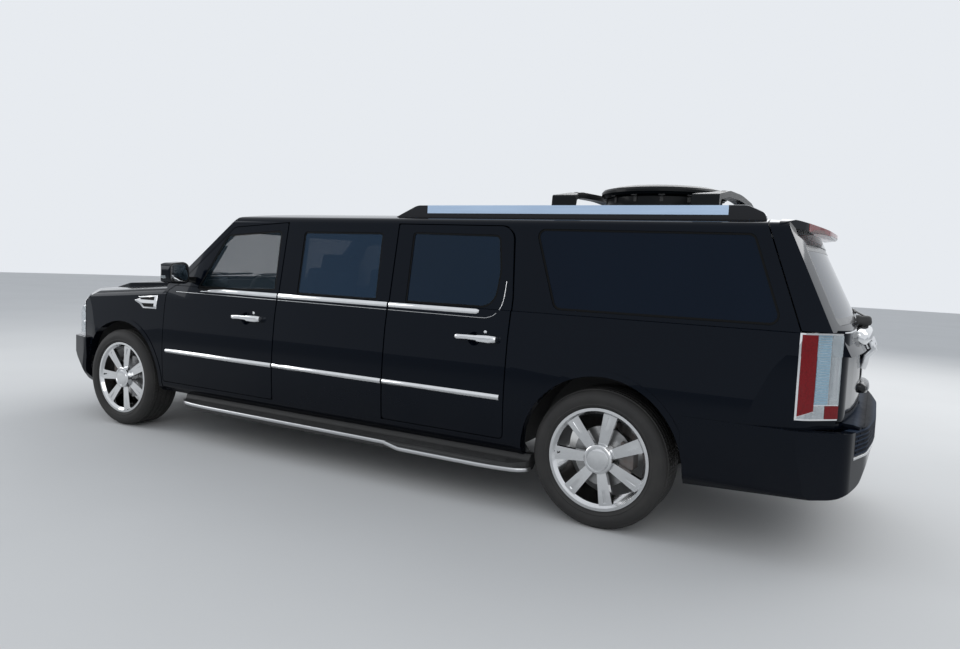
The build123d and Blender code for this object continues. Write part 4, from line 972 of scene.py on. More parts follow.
class LIMO_OT_board_trim(bpy.types.Operator):
    """Build the running boards' bright edges and tread bars"""

    bl_idname = "limo.board_trim"
    bl_label = "Running board trim"

    def execute(self, context):
        edge = curved([(1.566, 0.945, 0.300), (1.520, 0.990, 0.298), (1.440, 1.019, 0.297), (1.20, 1.0345, 0.295),
                       (0.40, 1.0355, 0.293), (-0.40, 1.0355, 0.291), (-0.47, 1.0360, 0.287), (-0.56, 1.0370, 0.268),
                       (-0.63, 1.0370, 0.264), (-1.10, 1.0360, 0.263), (-1.25, 1.0300, 0.263),
                       (-1.39, 1.0130, 0.264), (-1.455, 0.985, 0.266), (-1.484, 0.945, 0.268)])
        for side, sign in SIDES.items():
            form = swept(bmesh.new(), edge, rounded_bar(0.016, 0.026, 0.5, 3))
            piece(f"board_edge_{side}", tidy(form, sign), "body", "silver")
            bars = []
            for y in (0.955, 0.970, 0.985, 1.000):
                z = skin("running_boards", (0.0, y, 0.5), (0, 0, -1)).z
                bars.append(swept(bmesh.new(), [(-1.34, y, z), (1.42, y, z)], rounded_bar(0.0085, 0.005, 0.4, 2)))
            piece(f"board_tread_{side}", tidy(joined(*bars), sign), "body", "pad")
        return {"FINISHED"}


class LIMO_OT_mirrors(bpy.types.Operator):
    """Build the mirror glasses, their surrounds and the signal lenses"""

    bl_idname = "limo.mirrors"
    bl_label = "Mirrors"

    def execute(self, context):
        low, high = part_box("mirror_left")
        for side, sign in SIDES.items():
            body = f"door_front_{side}"
            middle = (low.x + 0.0010, 1.123, 1.3235)
            surround = plate(rounded_bar(0.168, 0.146, 0.24, 6), -0.0035, middle)
            softened(surround, 0.001, 2)
            piece(f"mirror_surround_{side}", tidy(surround, sign), body, "plastic")
            glass = plate(rounded_bar(0.150, 0.128, 0.22, 6), -0.0052, middle)
            softened(glass, 0.0008, 2)
            piece(f"mirror_face_{side}", tidy(glass, sign), body, "mirror")
            lens = shell("mirror_left", lambda face: face.normal.x > 0.25 or face.normal.y > 0.6,
                         between((low.x + 0.045, 1.11, 1.278), (high.x + 0.01, high.y + 0.01, 1.300)), 0.0, 0.0016)
            piece(f"mirror_signal_{side}", tidy(lens, sign), body, "clear")
            base = shell("mirror_left", lambda face: abs(face.normal.y) < 2.0,
                         between((low.x - 0.01, 0.9, 1.2), (high.x + 0.01, 1.036, 1.5)), 0.0, 0.0010)
            piece(f"mirror_foot_{side}", tidy(base, sign), body, "plastic")
        return {"FINISHED"}


PROJECTOR_BOWL = [(0.030, 0.002), (0.040, 0.012), (0.047, 0.020), (0.0535, 0.021), (0.0550, 0.016), (0.0550, -0.028),
                  (0.030, -0.028)]
PROJECTOR_LENS = [(0.0, 0.017), (0.010, 0.0155), (0.019, 0.0115), (0.026, 0.0055), (0.0298, -0.002), (0.0298, -0.01)]


def lamp_module(centre, size=1.0):
    """A projector's bowl and lens, facing forwards, as two forms."""
    scaled = [[(radius * size, along * size) for radius, along in rows] for rows in (PROJECTOR_BOWL, PROJECTOR_LENS)]
    bowl = turned(bmesh.new(), scaled[0], centre, 40, axis=(1, 0, 0))
    lens = turned(bmesh.new(), scaled[1], centre, 32, closed=False, axis=(1, 0, 0))
    return bowl, lens


class LIMO_OT_headlamps(bpy.types.Operator):
    """Build the headlamps: clear covers, buckets, projectors, light guides and side markers"""

    bl_idname = "limo.headlamps"
    bl_label = "Headlamps"

    def execute(self, context):
        def outer(face):
            return (face.calc_center_median().y > 0 and abs(face.normal.z) < 0.75
                    and (face.normal.x > 0.12 or face.normal.y > 0.35))

        low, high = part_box("headlamps")
        for side, sign in SIDES.items():
            cover = shell("headlamps", outer, thickness=-0.003)
            piece(f"lamp_cover_{side}", tidy(cover, sign), "body", "outer", replaces=["headlamps"])
            bucket = shell("headlamps", lambda face: face.calc_center_median().y > 0 and not outer(face),
                           thickness=-0.002)
            piece(f"lamp_bucket_{side}", tidy(bucket, sign), "body", "bowl")
            bowls, lenses = [], []
            for y, z, size in ((0.665, 0.800, 1.0), (0.665, 0.940, 1.0), (0.795, 0.800, 0.78), (0.795, 0.940, 0.78)):
                x = nose_at("headlamps", y, z) - 0.036
                bowl, lens = lamp_module((x, y, z), size)
                bowls.append(bowl)
                lenses.append(lens)
            piece(f"lamp_bowls_{side}", tidy(joined(*bowls), sign), "body", "bowl", 25.0)
            piece(f"lamp_lenses_{side}", tidy(joined(*lenses), sign), "body", "clear", 25.0)
            guides = []
            for y in (0.604, 0.734):
                path = [(nose_at("headlamps", y, z) - 0.014, y, z) for z in (0.722, 0.80, 0.88, 0.96, 1.028)]
                guides.append(swept(bmesh.new(), path, rounded_bar(0.012, 0.014, 0.4, 2), up=(0, 1, 0)))
            path = [(nose_at("headlamps", y, 1.018) - 0.013, y, 1.018) for y in (0.604, 0.67, 0.74, 0.81, 0.86)]
            guides.append(swept(bmesh.new(), path, rounded_bar(0.012, 0.014, 0.4, 2)))
            piece(f"lamp_guides_{side}", tidy(joined(*guides), sign), "body", "chrome")
            marker = shell("headlamps", lambda face: outer(face) and face.normal.y > 0.3,
                           between((low.x + 0.02, 0.86, 0.735), (low.x + 0.11, 1.1, 1.01)), -0.006, -0.003)
            piece(f"side_marker_{side}", tidy(marker, sign), "body", "clear")
        return {"FINISHED"}


class LIMO_OT_front_trim(bpy.types.Operator):
    """Build the radiator behind the grille, the lower mesh and the fog lamps"""

    bl_idname = "limo.front_trim"
    bl_label = "Front trim"

    def execute(self, context):
        low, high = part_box("grille")
        core = bmesh.new()
        box(core, (low.x - 0.030, -0.555, low.z + 0.018), (low.x - 0.012, 0.555, high.z - 0.018))
        softened(core, 0.003)
        piece("radiator_core", tidy(core), "body", "mesh")
        fins = []
        for index in range(19):
            z = low.z + 0.040 + index * (high.z - low.z - 0.080) / 18
            fins.append(swept(bmesh.new(), [(low.x - 0.011, -0.55, z), (low.x - 0.011, 0.55, z)],
                              rounded_bar(0.006, 0.004, 0.4, 1)))
        piece("radiator_fins", tidy(joined(*fins)), "body", "plastic")
        mesh = bmesh.new()
        back = nose_at("front_bumper", 0.0, 0.60) - 0.075
        box(mesh, (back, -0.440, 0.398), (back + 0.006, 0.440, 0.512))
        bars = [mesh]
        for index in range(4):
            z = 0.418 + index * 0.024
            bars.append(swept(bmesh.new(), [(back + 0.014, -0.436, z), (back + 0.014, 0.436, z)],
                              rounded_bar(0.014, 0.005, 0.4, 2)))
        for index in range(15):
            y = -0.406 + index * 0.058
            bars.append(swept(bmesh.new(), [(back + 0.011, y, 0.400), (back + 0.011, y, 0.510)],
                              rounded_bar(0.004, 0.010, 0.4, 1), up=(0, 1, 0)))
        piece("lower_mesh", tidy(joined(*bars)), "body", "plastic")
        for side, sign in SIDES.items():
            x = nose_at("front_bumper", 0.645, 0.56) - 0.052
            bowl, lens = lamp_module((x, 0.640, 0.475), 0.72)
            backing = bmesh.new()
            box(backing, (x - 0.034, 0.545, 0.422), (x - 0.024, 0.775, 0.528))
            piece(f"fog_backing_{side}", tidy(backing, sign), "body", "plastic")
            piece(f"fog_bowl_{side}", tidy(bowl, sign), "body", "chrome", 25.0)
            piece(f"fog_lens_{side}", tidy(lens, sign), "body", "clear", 25.0)
        return {"FINISHED"}


WIPER_ROWS = (("left", 0.690, 0.640, 0.060), ("right", -0.020, -0.075, -0.640))


class LIMO_OT_wipers(bpy.types.Operator):
    """Build the wiper arms and blades of both screens"""

    bl_idname = "limo.wipers"
    bl_label = "Wipers"

    def execute(self, context):
        def on_screen(y, z, away):
            x = nose_at("windscreen", y, z)
            return Vector((x, y, z)) + Vector((0.62, 0, 0.78)) * away

        for name, pivot_y, blade_start, blade_end in WIPER_ROWS:
            middle = (blade_start + blade_end) / 2
            blade = [on_screen(blade_start + (blade_end - blade_start) * step / 8, 1.288 + 0.018 * step / 8, 0.010)
                     for step in range(9)]
            rubber = swept(bmesh.new(), blade, rounded_bar(0.010, 0.016, 0.35, 2))
            foot = skin("cowl_panel", (1.855, pivot_y, 1.6), (0, 0, -1))
            arm = curved([foot + Vector((0, 0, 0.012)), foot + Vector((-0.030, 0, 0.040)),
                          on_screen(pivot_y * 0.7 + middle * 0.3, 1.285, 0.030), on_screen(middle, 1.297, 0.022)], 5)
            arm_form = swept(bmesh.new(), arm, rounded_bar(0.015, 0.007, 0.35, 2))
            nut = turned(bmesh.new(), [(0.0, 0.036), (0.010, 0.036), (0.014, 0.030), (0.017, 0.004), (0.017, -0.004)],
                         foot, 24, closed=False, axis=(0, 0, 1))
            whole = joined(rubber, arm_form, nut)
            piece(f"wiper_{name}", tidy(whole), "body", "plastic")
        x = tail_at("liftgate", 0.0, 1.236)
        knob = turned(bmesh.new(), [(0.0, 0.070), (0.016, 0.069), (0.026, 0.062), (0.031, 0.048), (0.033, 0.020),
                                    (0.040, 0.004), (0.040, -0.012)], (x, 0.0, 1.243), 32, closed=False,
                      axis=(-1, 0, 0.15))
        path = [(x - 0.052, -0.02, 1.246), (x - 0.050, -0.14, 1.258),
                (tail_at("liftgate_glass", -0.30, 1.290) - 0.020, -0.30, 1.288),
                (tail_at("liftgate_glass", -0.40, 1.300) - 0.014, -0.40, 1.298)]
        arm = swept(bmesh.new(), curved(path, 5), rounded_bar(0.014, 0.007, 0.35, 2))
        blade = [(tail_at("liftgate_glass", y, 1.285 + y * -0.02) - 0.009, y, 1.285 + y * -0.02)
                 for y in (-0.14, -0.25, -0.36, -0.47, -0.58)]
        rubber = swept(bmesh.new(), blade, rounded_bar(0.009, 0.014, 0.35, 2))
        piece("rear_wiper", tidy(joined(knob, arm, rubber)), "liftgate", "plastic")
        return {"FINISHED"}


VENT_OUTLINE = [(1.874, 1.011), (2.030, 1.008), (2.080, 1.040), (2.149, 1.064), (2.149, 1.072), (2.080, 1.088),
                (2.112, 1.101), (1.874, 1.123)]
VENT_SLOTS = [[(1.905, 1.024), (2.020, 1.022), (2.062, 1.050), (1.905, 1.055)],
              [(1.905, 1.080), (2.070, 1.078), (2.085, 1.093), (1.905, 1.109)]]


class LIMO_OT_fender_vents(bpy.types.Operator):
    """Build the bright vents behind the front wheels"""

    bl_idname = "limo.fender_vents"
    bl_label = "Fender vents"

    def execute(self, context):
        for side, sign in SIDES.items():
            outer = 0.9765
            bm = bmesh.new()
            rings = []
            for y, shrink in ((0.955, 1.0), (outer + 0.002, 1.0), (outer + 0.008, 0.965)):
                rings.append([(2.0 + (x - 2.0) * shrink, y + (1.066 - z) * 0.14, 1.066 + (z - 1.066) * shrink)
                              for x, z in VENT_OUTLINE])
            lofted(bm, rings)
            softened(bm, 0.002, 2, 30.0)
            piece(f"vent_surround_{side}", tidy(bm, sign), "body", "chrome")
            for index, slot in enumerate(VENT_SLOTS):
                bm = bmesh.new()
                pushed(bm, [(x, outer + (1.066 - z) * 0.14, z) for x, z in slot], (0, 0.0088, 0))
                softened(bm, 0.001, 1, 30.0)
                piece(f"vent_slot_{index}_{side}", tidy(bm, sign), "body", "seal")
        return {"FINISHED"}


LAMP_PLAN = [(-3.1118, 0.8263), (-3.0968, 0.8416), (-3.0065, 0.9242), (-2.9675, 0.9526), (-2.9233, 0.9706)]


def lamp_form():
    """Left tail lamp, with its foot's rounded corner carried up to its top."""
    bm = copied("tail_lamps", lambda face: face.calc_center_median().y > 0)
    for (x0, y0), (x1, y1) in zip(LAMP_PLAN, LAMP_PLAN[1:]):
        cut = bmesh.ops.bisect_plane(bm, geom=bm.verts[:] + bm.edges[:] + bm.faces[:], plane_co=(x0, y0, 0.0),
                                     plane_no=(y0 - y1, x1 - x0, 0.0), clear_outer=True)["geom_cut"]
        rim = [edge for edge in cut if isinstance(edge, bmesh.types.BMEdge) and len(edge.link_faces) == 1]
        if rim:
            bmesh.ops.triangle_fill(bm, edges=rim, use_beauty=True, use_dissolve=False)
    for (x0, y0), (x1, y1) in zip(LAMP_PLAN[:2], LAMP_PLAN[1:3]):
        pushed(bm, [(x0, y0, 1.0995), (x1, y1, 1.0995), (x1, y1, 1.2165), (x0, y0, 1.2165)], (-0.0004, 0.0004, 0.0))
    bmesh.ops.recalc_face_normals(bm, faces=bm.faces)
    return bm


def lamp_skin(low_x, high_x, low_z, high_z, thickness, cuts=()):
    """Thin shell over part of the left tail lamp's outside, between two x and two heights."""
    def outer(face):
        return (face.normal.y > 0.2 or face.normal.x < -0.2) and abs(face.normal.z) < 0.7

    skin_form = trimmed(lamp_form(), outer, between((low_x, 0.0, low_z), (high_x, 2.0, high_z)) + list(cuts))
    return thickened(skin_form, 0.0, thickness)


class LIMO_OT_tail_lamps(bpy.types.Operator):
    """Build the red and clear lenses of the tail lamps"""

    bl_idname = "limo.tail_lamps"
    bl_label = "Tail lamps"

    def execute(self, context):
        low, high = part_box("tail_lamps")
        top, bottom = high.z - 0.009, low.z + 0.008
        for side, sign in SIDES.items():
            piece(f"lamp_housing_{side}", tidy(lamp_form(), sign), "body", "chrome", 15.0,
                  ["tail_lamps"])
            lenses = {
                "red_band": (-3.003, high.x - 0.010, bottom, top, 0.003, "red", "red_lamp"),
                "clear_rear": (low.x - 0.01, -3.066, 0.856, top, 0.003, "clear", "clear_lamp"),
                "clear_foot": (-3.050, -3.006, bottom, 0.850, 0.003, "clear", "clear_lamp"),
                "ribbed_column": (-3.063, -3.006, 0.856, top, 0.0015, "column", "clear_lamp"),
                "red_foot": (low.x - 0.01, -3.053, bottom, 0.850, 0.003, "red", "red_lamp"),
            }
            for name, (x0, x1, z0, z1, thick, finish, slot) in lenses.items():
                cuts = [((high.x, 0, bottom + 0.008), (-0.028, 0, -0.070))] if name == "red_band" else ()
                bm = lamp_skin(x0, x1, z0, z1, thick, cuts)
                piece(f"lens_{name}_{side}", tidy(bm, sign), "body", finish)
            wedge = lamp_skin(-3.003, high.x - 0.010, bottom, bottom + 0.05, 0.003,
                              [((high.x, 0, bottom + 0.004), (0.028, 0, 0.070))])
            piece(f"lens_wedge_{side}", tidy(wedge, sign), "body", "clear")
            count = 26
            step = (top - 0.860) / count
            slats = [lamp_skin(-3.062, -3.007, 0.860 + index * step, 0.860 + (index + 0.4) * step, 0.0030)
                     for index in range(count)]
            piece(f"lens_column_{side}", tidy(joined(*slats), sign), "body", "clear")
        return {"FINISHED"}


def gate_strip(node, rows, height, proud, steps=16):
    """Strip across the back, following the surface. Columns of rows: y and z from one end to the other."""
    rings = []
    for (y0, z0), (y1, z1) in zip(rows, rows[1:]):
        for step in range(steps + 1):
            share = step / steps
            y, z = y0 + (y1 - y0) * share, z0 + (z1 - z0) * share
            x = tail_at(node, y, z)
            rings.append([(x + 0.003, y, z - height / 2), (x - proud, y, z - height / 2 + 0.001),
                          (x - proud * 1.3, y, z), (x - proud, y, z + height / 2 - 0.001),
                          (x + 0.003, y, z + height / 2)])
    return lofted(bmesh.new(), rings)


def across_back(rows, height):
    """Bar across the liftgate. Columns of rows: y, half height, how far out its face stands."""
    rings = []
    for y, half, out in rows:
        x = tail_at("liftgate", y, height)
        rings.append([(x + 0.008, y, height - half), (x - out * 0.75, y, height - half + 0.004),
                      (x - out, y, height - half * 0.35), (x - out * 0.92, y, height + half * 0.45),
                      (x - out * 0.45, y, height + half - 0.003), (x + 0.008, y, height + half)])
    return lofted(bmesh.new(), rings)


class LIMO_OT_liftgate_trim(bpy.types.Operator):
    """Build the liftgate's stop lamp, bright bar, blank plate and pull"""

    bl_idname = "limo.liftgate_trim"
    bl_label = "Liftgate trim"

    def execute(self, context):
        line = gate_strip("liftgate", [(-0.81, 1.222), (0.0, 1.234), (0.81, 1.222)], 0.009, 0.004)
        piece("glass_line", tidy(line), "liftgate", "chrome")
        ends = [(0.47, 0.022, 0.010), (0.455, 0.036, 0.030), (0.42, 0.042, 0.044), (0.20, 0.045, 0.052)]
        brow = across_back([(-y, half, out) for y, half, out in ends] + [(0.0, 0.046, 0.054)] + ends[::-1], 1.178)
        softened(brow, 0.004, 3, 30.0)
        piece("gate_brow", tidy(brow), "liftgate", "chrome")
        posts = []
        for y in (-0.185, 0.185):
            path = [(tail_at("liftgate", y, z) - out, y, z)
                    for z, out in ((1.140, 0.026), (1.100, 0.025), (1.060, 0.022), (1.020, 0.016), (0.985, 0.006))]
            posts.append(swept(bmesh.new(), path, rounded_bar(0.040, 0.036, 0.3, 3), up=(0, 1, 0)))
        piece("plate_posts", tidy(joined(*posts)), "liftgate", "chrome")
        lean = Vector((tail_at("liftgate", 0.0, 1.05) - tail_at("liftgate", 0.0, 0.92), 0, 0.13))
        middle = Vector((tail_at("liftgate", 0.0, 0.985) - 0.0035, 0.0, 0.985))
        blank = plate(rounded_bar(0.304, 0.152, 0.09, 4), 0.0018, middle, (0, 1, 0), lean)
        softened(blank, 0.0006, 1)
        piece("blank_plate", tidy(blank), "liftgate", "silver")
        pull = across_back([(-0.175, 0.016, 0.008), (-0.160, 0.030, 0.034), (-0.10, 0.036, 0.046),
                            (0.0, 0.038, 0.049), (0.10, 0.036, 0.046), (0.160, 0.030, 0.034),
                            (0.175, 0.016, 0.008)], 0.865)
        softened(pull, 0.004, 3, 30.0)
        piece("gate_pull", tidy(pull), "liftgate", "gloss")
        for index, y in enumerate((-0.118, 0.118)):
            x = tail_at("liftgate", y, 0.865)
            lamp = plate(rounded_bar(0.046, 0.020, 0.4, 4), 0.004, (x - 0.044, y, 0.861))
            softened(lamp, 0.001, 1)
            piece(f"plate_lamp_{index}", tidy(lamp), "liftgate", "clear")
        low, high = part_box("liftgate")
        stop = shell("liftgate", lambda face: face.normal.z < 0.93 and face.calc_center_median().z > 1.60,
                     between((-3.1, -0.66, 1.731), (-2.900, 0.66, high.z + 0.01)), 0.0002, 0.0012)
        piece("stop_lamp", tidy(stop), "liftgate", "red")
        return {"FINISHED"}


STEP_RIBS = ((0.622, 0.815), (0.645, 0.81), (0.668, 0.80), (0.691, 0.79), (0.714, 0.77), (0.737, 0.73))


class LIMO_OT_bumper_trim(bpy.types.Operator):
    """Build the ribbed pad and the bright strip of the rear bumper"""

    bl_idname = "limo.bumper_trim"
    bl_label = "Rear bumper trim"

    def execute(self, context):
        def strip(height, half, proud, reach):
            rings = []
            for step in range(33):
                y = -reach + 2 * reach * step / 32
                x = tail_at("rear_bumper", y, height)
                front = max(x - proud, cad_low.x)
                rings.append([(x + 0.004, y, height - half), (front + 0.0005, y, height - half * 0.6),
                              (front, y, height), (front + 0.0005, y, height + half * 0.6),
                              (x + 0.004, y, height + half)])
            return lofted(bmesh.new(), rings)

        pad = shell("rear_bumper", lambda face: face.normal.x < -0.25 or face.normal.z > 0.4,
                    between((-3.3, -0.825, 0.606), (-3.13, 0.825, 0.770)), 0.0001, 0.0008)
        for vert in pad.verts:
            vert.co.x = max(vert.co.x, cad_low.x)
        piece("step_pad", tidy(pad), "body", "step")
        ribs = [strip(height, 0.0055, 0.0035, reach) for height, reach in STEP_RIBS]
        piece("step_ribs", tidy(joined(*ribs)), "body", "step")
        piece("bumper_strip", tidy(strip(0.592, 0.009, 0.003, 0.83)), "body", "silver")
        return {"FINISHED"}


SEAM_DEPTH = 0.0075


def pad_point(u, w, t, size, crown, channels):
    """Place on a cushion of a point on a cube's surface, each of whose distances is from -1 to 1."""
    half = Vector(size) / 2
    point = Vector((u * half.x, w * half.y, t * half.z))
    radius = half.z * 0.72
    inner = Vector([max(-(h - radius), min(h - radius, c)) for c, h in zip(point, half)])
    away = point - inner
    if away.length > 0:
        point = inner + away.normalized() * radius
    point.x *= 1 - 0.028 * (1 - w ** 4)
    point.y *= 1 - 0.034 * (1 - u ** 4)
    top = max(0.0, min(1.0, (point.z / half.z) * 1.4))
    point.z += top * crown * (1 - abs(u) ** 2.6) * (1 - abs(w) ** 2.6)
    for place, across in channels:
        distance = (w if across else u) - place
        point.z -= top * SEAM_DEPTH * 2.718 ** (-(distance / 0.035) ** 2)
    return point


def pad_form(size, crown, channels=(), cuts=30):
    """Cushion about the origin, its crowned top upwards, with channels sewn across it."""
    bm = bmesh.new()
    bmesh.ops.create_cube(bm, size=2.0)
    bmesh.ops.subdivide_edges(bm, edges=bm.edges[:], cuts=cuts, use_grid_fill=True)
    for vert in bm.verts:
        vert.co = pad_point(*vert.co, size, crown, channels)
    return bm


def piping_form(size, crown, channels=(), count=24):
    """Welt sewn round a cushion's upper edge."""
    side = [2 * step / count - 1 for step in range(count)]
    ring = [(s, -1.0) for s in side] + [(1.0, s) for s in side] + [(-s, 1.0) for s in side] + [(-1.0, -s) for s in side]
    points = [pad_point(u, w, 1.0, size, crown, channels) for u, w in ring]
    points = [point for index, point in enumerate(points) if (point - points[index - 1]).length > 0.0012]
    return swept(bmesh.new(), points + points[:2], rounded_bar(0.0075, 0.0075, 0.5, 2))


class LIMO_OT_seats(bpy.types.Operator):
    """Build the padded front seats, middle seats and rear bench"""

    bl_idname = "limo.seats"
    bl_label = "Seats"

    def execute(self, context):
        front_low, front_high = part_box("front_seats")
        rear_low, rear_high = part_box("rear_seats")
        bench_front = rear_low.x + 0.657
        single = (front_low.y + front_high.y) / 2
        middle = (0.12 + front_high.y) / 2
        wide, narrow = 0.54, 0.405
        self.floor = front_low.z + 0.0005
        rows = [("driver", front_high.x, middle, wide, "front_seats"),
                ("passenger", front_high.x, single * 2 - middle, wide, "front_seats"),
                ("middle_left", rear_high.x, middle, wide, "rear_seats"),
                ("middle_right", rear_high.x, -middle, wide, "rear_seats"),
                ("bench_left", bench_front, 0.412, narrow, "rear_seats"),
                ("bench_centre", bench_front, 0.0, narrow, "rear_seats"),
                ("bench_right", bench_front, -0.412, narrow, "rear_seats")]
        for name, front, y, width, node in rows:
            self.seat(name, front, y, width, node)
        return {"FINISHED"}

    def seat(self, name, front, y, width, node):
        """One seat: base, cushion, leaning back, head restraint and its posts."""
        lean = radians(10.5)
        stand = bmesh.new()
        box(stand, (front - 0.53, y - width / 2 + 0.03, self.floor), (front - 0.06, y + width / 2 - 0.03, 0.800))
        softened(stand, 0.02, 3)
        piece(f"seat_base_{name}", tidy(stand), "body", "cabin")
        back_turn = Matrix(((-sin(lean), 0, cos(lean)), (0, -1, 0), (cos(lean), 0, sin(lean)))).to_4x4()
        channels = ((-0.52, True), (0.52, True), (-0.35, False), (0.1, False), (0.55, False))
        parts = (("cushion", (0.505, width, 0.135), 0.020, channels, Matrix.Translation((front - 0.268, y, 0.864))),
                 ("back", (0.520, width * 0.96, 0.120), 0.018, channels,
                  Matrix.Translation((front - 0.522, y, 1.150)) @ back_turn),
                 ("head", (0.150, 0.260, 0.095), 0.010, ((0.0, False),),
                  Matrix.Translation((front - 0.574, y, 1.438)) @ back_turn))
        for part, size, crown, lines, place in parts:
            form = pad_form(size, crown, lines, 14 if part == "head" else 30)
            bmesh.ops.transform(form, matrix=place, verts=form.verts)
            pad = piece(f"seat_{part}_{name}", tidy(form), "body", "leather", 60.0, [node])
            welt = piping_form(size, crown, lines)
            bmesh.ops.transform(welt, matrix=place, verts=welt.verts)
            piece(f"seat_welt_{part}_{name}", tidy(welt), "body", "leather", 60.0)
        posts = []
        for side in (-0.055, 0.055):
            path = [place @ Vector((along, side, 0.0)) for along in (-0.135, -0.1, -0.06)]
            posts.append(swept(bmesh.new(), path, rounded_bar(0.012, 0.012, 0.5, 3), up=(0, 1, 0)))
        piece(f"seat_posts_{name}", tidy(joined(*posts)), "body", "chrome")


class LIMO_OT_cockpit(bpy.types.Operator):
    """Build the steering wheel, the gauges, the screen and the vents"""

    bl_idname = "limo.cockpit"
    bl_label = "Cockpit"

    def execute(self, context):
        middle, axis = Vector((1.238, 0.380, 1.130)), Vector((-0.88, 0, 0.475)).normalized()
        over = Vector((0.475, 0, 0.88)).normalized()
        rim = turned(bmesh.new(), [(0.182 + 0.0150 * cos(a * pi / 6), 0.0150 * sin(a * pi / 6)) for a in range(12)],
                     middle, 64, axis=axis)
        hub = turned(bmesh.new(), [(0.0, 0.030), (0.030, 0.029), (0.052, 0.024), (0.064, 0.012), (0.066, -0.010),
                                   (0.052, -0.020)], middle, 40, closed=False, axis=axis)
        spokes = []
        across = Vector((0, 1, 0))
        for angle in (-pi / 2, pi * 0.06, pi * 0.94):
            out = across * cos(angle) + over * sin(angle)
            path = [middle + out * r + axis * a for r, a in ((0.045, 0.010), (0.09, 0.006), (0.14, 0.002),
                                                             (0.178, 0.0))]
            widths = [rounded_bar(w, 0.014, 0.4, 3) for w in (0.060, 0.046, 0.036, 0.032)]
            spokes.append(swept(bmesh.new(), path, widths, up=axis))
        piece("steering_rim", tidy(joined(rim, hub, *spokes)), "body", "leather", 40.0,
              ["steering_wheel"])
        column = turned(bmesh.new(), [(0.026, -0.012), (0.044, -0.020), (0.048, -0.070), (0.040, -0.165),
                                      (0.034, -0.180)], middle, 32, closed=False, axis=axis)
        piece("steering_column", tidy(column), "body", "cabin")
        dash_low, dash_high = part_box("dashboard")
        hood = bmesh.new()
        box(hood, (dash_low.x - 0.012, 0.215, 1.100), (dash_low.x + 0.120, 0.545, dash_high.z + 0.045))
        softened(hood, 0.018, 3)
        piece("gauge_hood", tidy(hood), "body", "cabin")
        faces, rings = [], []
        for y, radius in ((0.310, 0.042), (0.450, 0.042), (0.380, 0.022)):
            place = (dash_low.x - 0.012, y, 1.152)
            faces.append(turned(bmesh.new(), [(0.0, 0.0015), (radius, 0.0015), (radius, -0.002)], place, 32,
                                closed=False, axis=(-1, 0, 0)))
            rings.append(turned(bmesh.new(), [(radius, 0.0), (radius + 0.001, 0.004), (radius + 0.005, 0.003),
                                              (radius + 0.006, -0.001)], place, 32, axis=(-1, 0, 0)))
        piece("gauge_faces", tidy(joined(*faces)), "body", "gloss")
        piece("gauge_rings", tidy(joined(*rings)), "body", "chrome")
        trim = []
        for y, z, width, tall in ((0.0, 1.060, 0.210, 0.120), (0.0, 0.940, 0.200, 0.070)):
            x = skin("dashboard", (0.9, y, z), (1, 0, 0)).x
            panel = plate(rounded_bar(width, tall, 0.15, 4), -0.008, (x + 0.003, y, z))
            trim.append(softened(panel, 0.002, 2))
        piece("centre_screen", tidy(joined(*trim)), "body", "gloss")
        vents, slats = [], []
        for y in (-0.74, -0.17, 0.17, 0.74):
            x = skin("dashboard", (0.9, y, 1.075), (1, 0, 0)).x
            vents.append(softened(plate(rounded_bar(0.112, 0.066, 0.2, 4), -0.006, (x + 0.002, y, 1.075)), 0.002, 2))
            for step in range(4):
                z = 1.054 + step * 0.014
                slats.append(swept(bmesh.new(), [(x - 0.0055, y - 0.047, z), (x - 0.0055, y + 0.047, z)],
                                   rounded_bar(0.006, 0.004, 0.4, 1)))
        piece("dash_vents", tidy(joined(*vents)), "body", "silver")
        piece("vent_slats", tidy(joined(*slats)), "body", "plastic")
        return {"FINISHED"}


class LIMO_OT_linings(bpy.types.Operator):
    """Build the headliner and the doors' inner cards"""

    bl_idname = "limo.linings"
    bl_label = "Linings"

    def execute(self, context):
        liner = shell("roof_panel", lambda face: face.normal.z < -0.6, thickness=0.004)
        piece("headliner", tidy(liner), "body", "headliner")
        for end in ENDS:
            low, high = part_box(f"door_{end}_left")
            glass_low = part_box(f"door_glass_{end}_left")[0]
            front = high.x - (0.42 if end == "front" else 0.06)
            card_low, card_high = (low.x + 0.075, 0.78, low.z + 0.075), (front, 0.96, glass_low.z - 0.03)
            for side, sign in SIDES.items():
                body = f"door_{end}_{side}"
                card = shell(f"door_{end}_left", lambda face: face.normal.y < -0.5, between(card_low, card_high), 0.0,
                             0.004)
                piece(f"door_card_{end}_{side}", tidy(card, sign), body, "card")
                middle = (card_low[0] + card_high[0]) / 2
                inner = skin(f"door_{end}_left", (middle, 0.0, 0.90), (0, 1, 0)).y
                rest = curved([(middle - 0.24, inner, 0.865), (middle - 0.20, inner - 0.030, 0.880),
                               (middle, inner - 0.034, 0.900), (middle + 0.18, inner - 0.030, 0.925),
                               (middle + 0.22, inner, 0.935)], 4)
                form = swept(bmesh.new(), rest, rounded_bar(0.040, 0.052, 0.4, 4))
                piece(f"arm_rest_{end}_{side}", tidy(form, sign), body, "leather", 50.0)
        return {"FINISHED"}


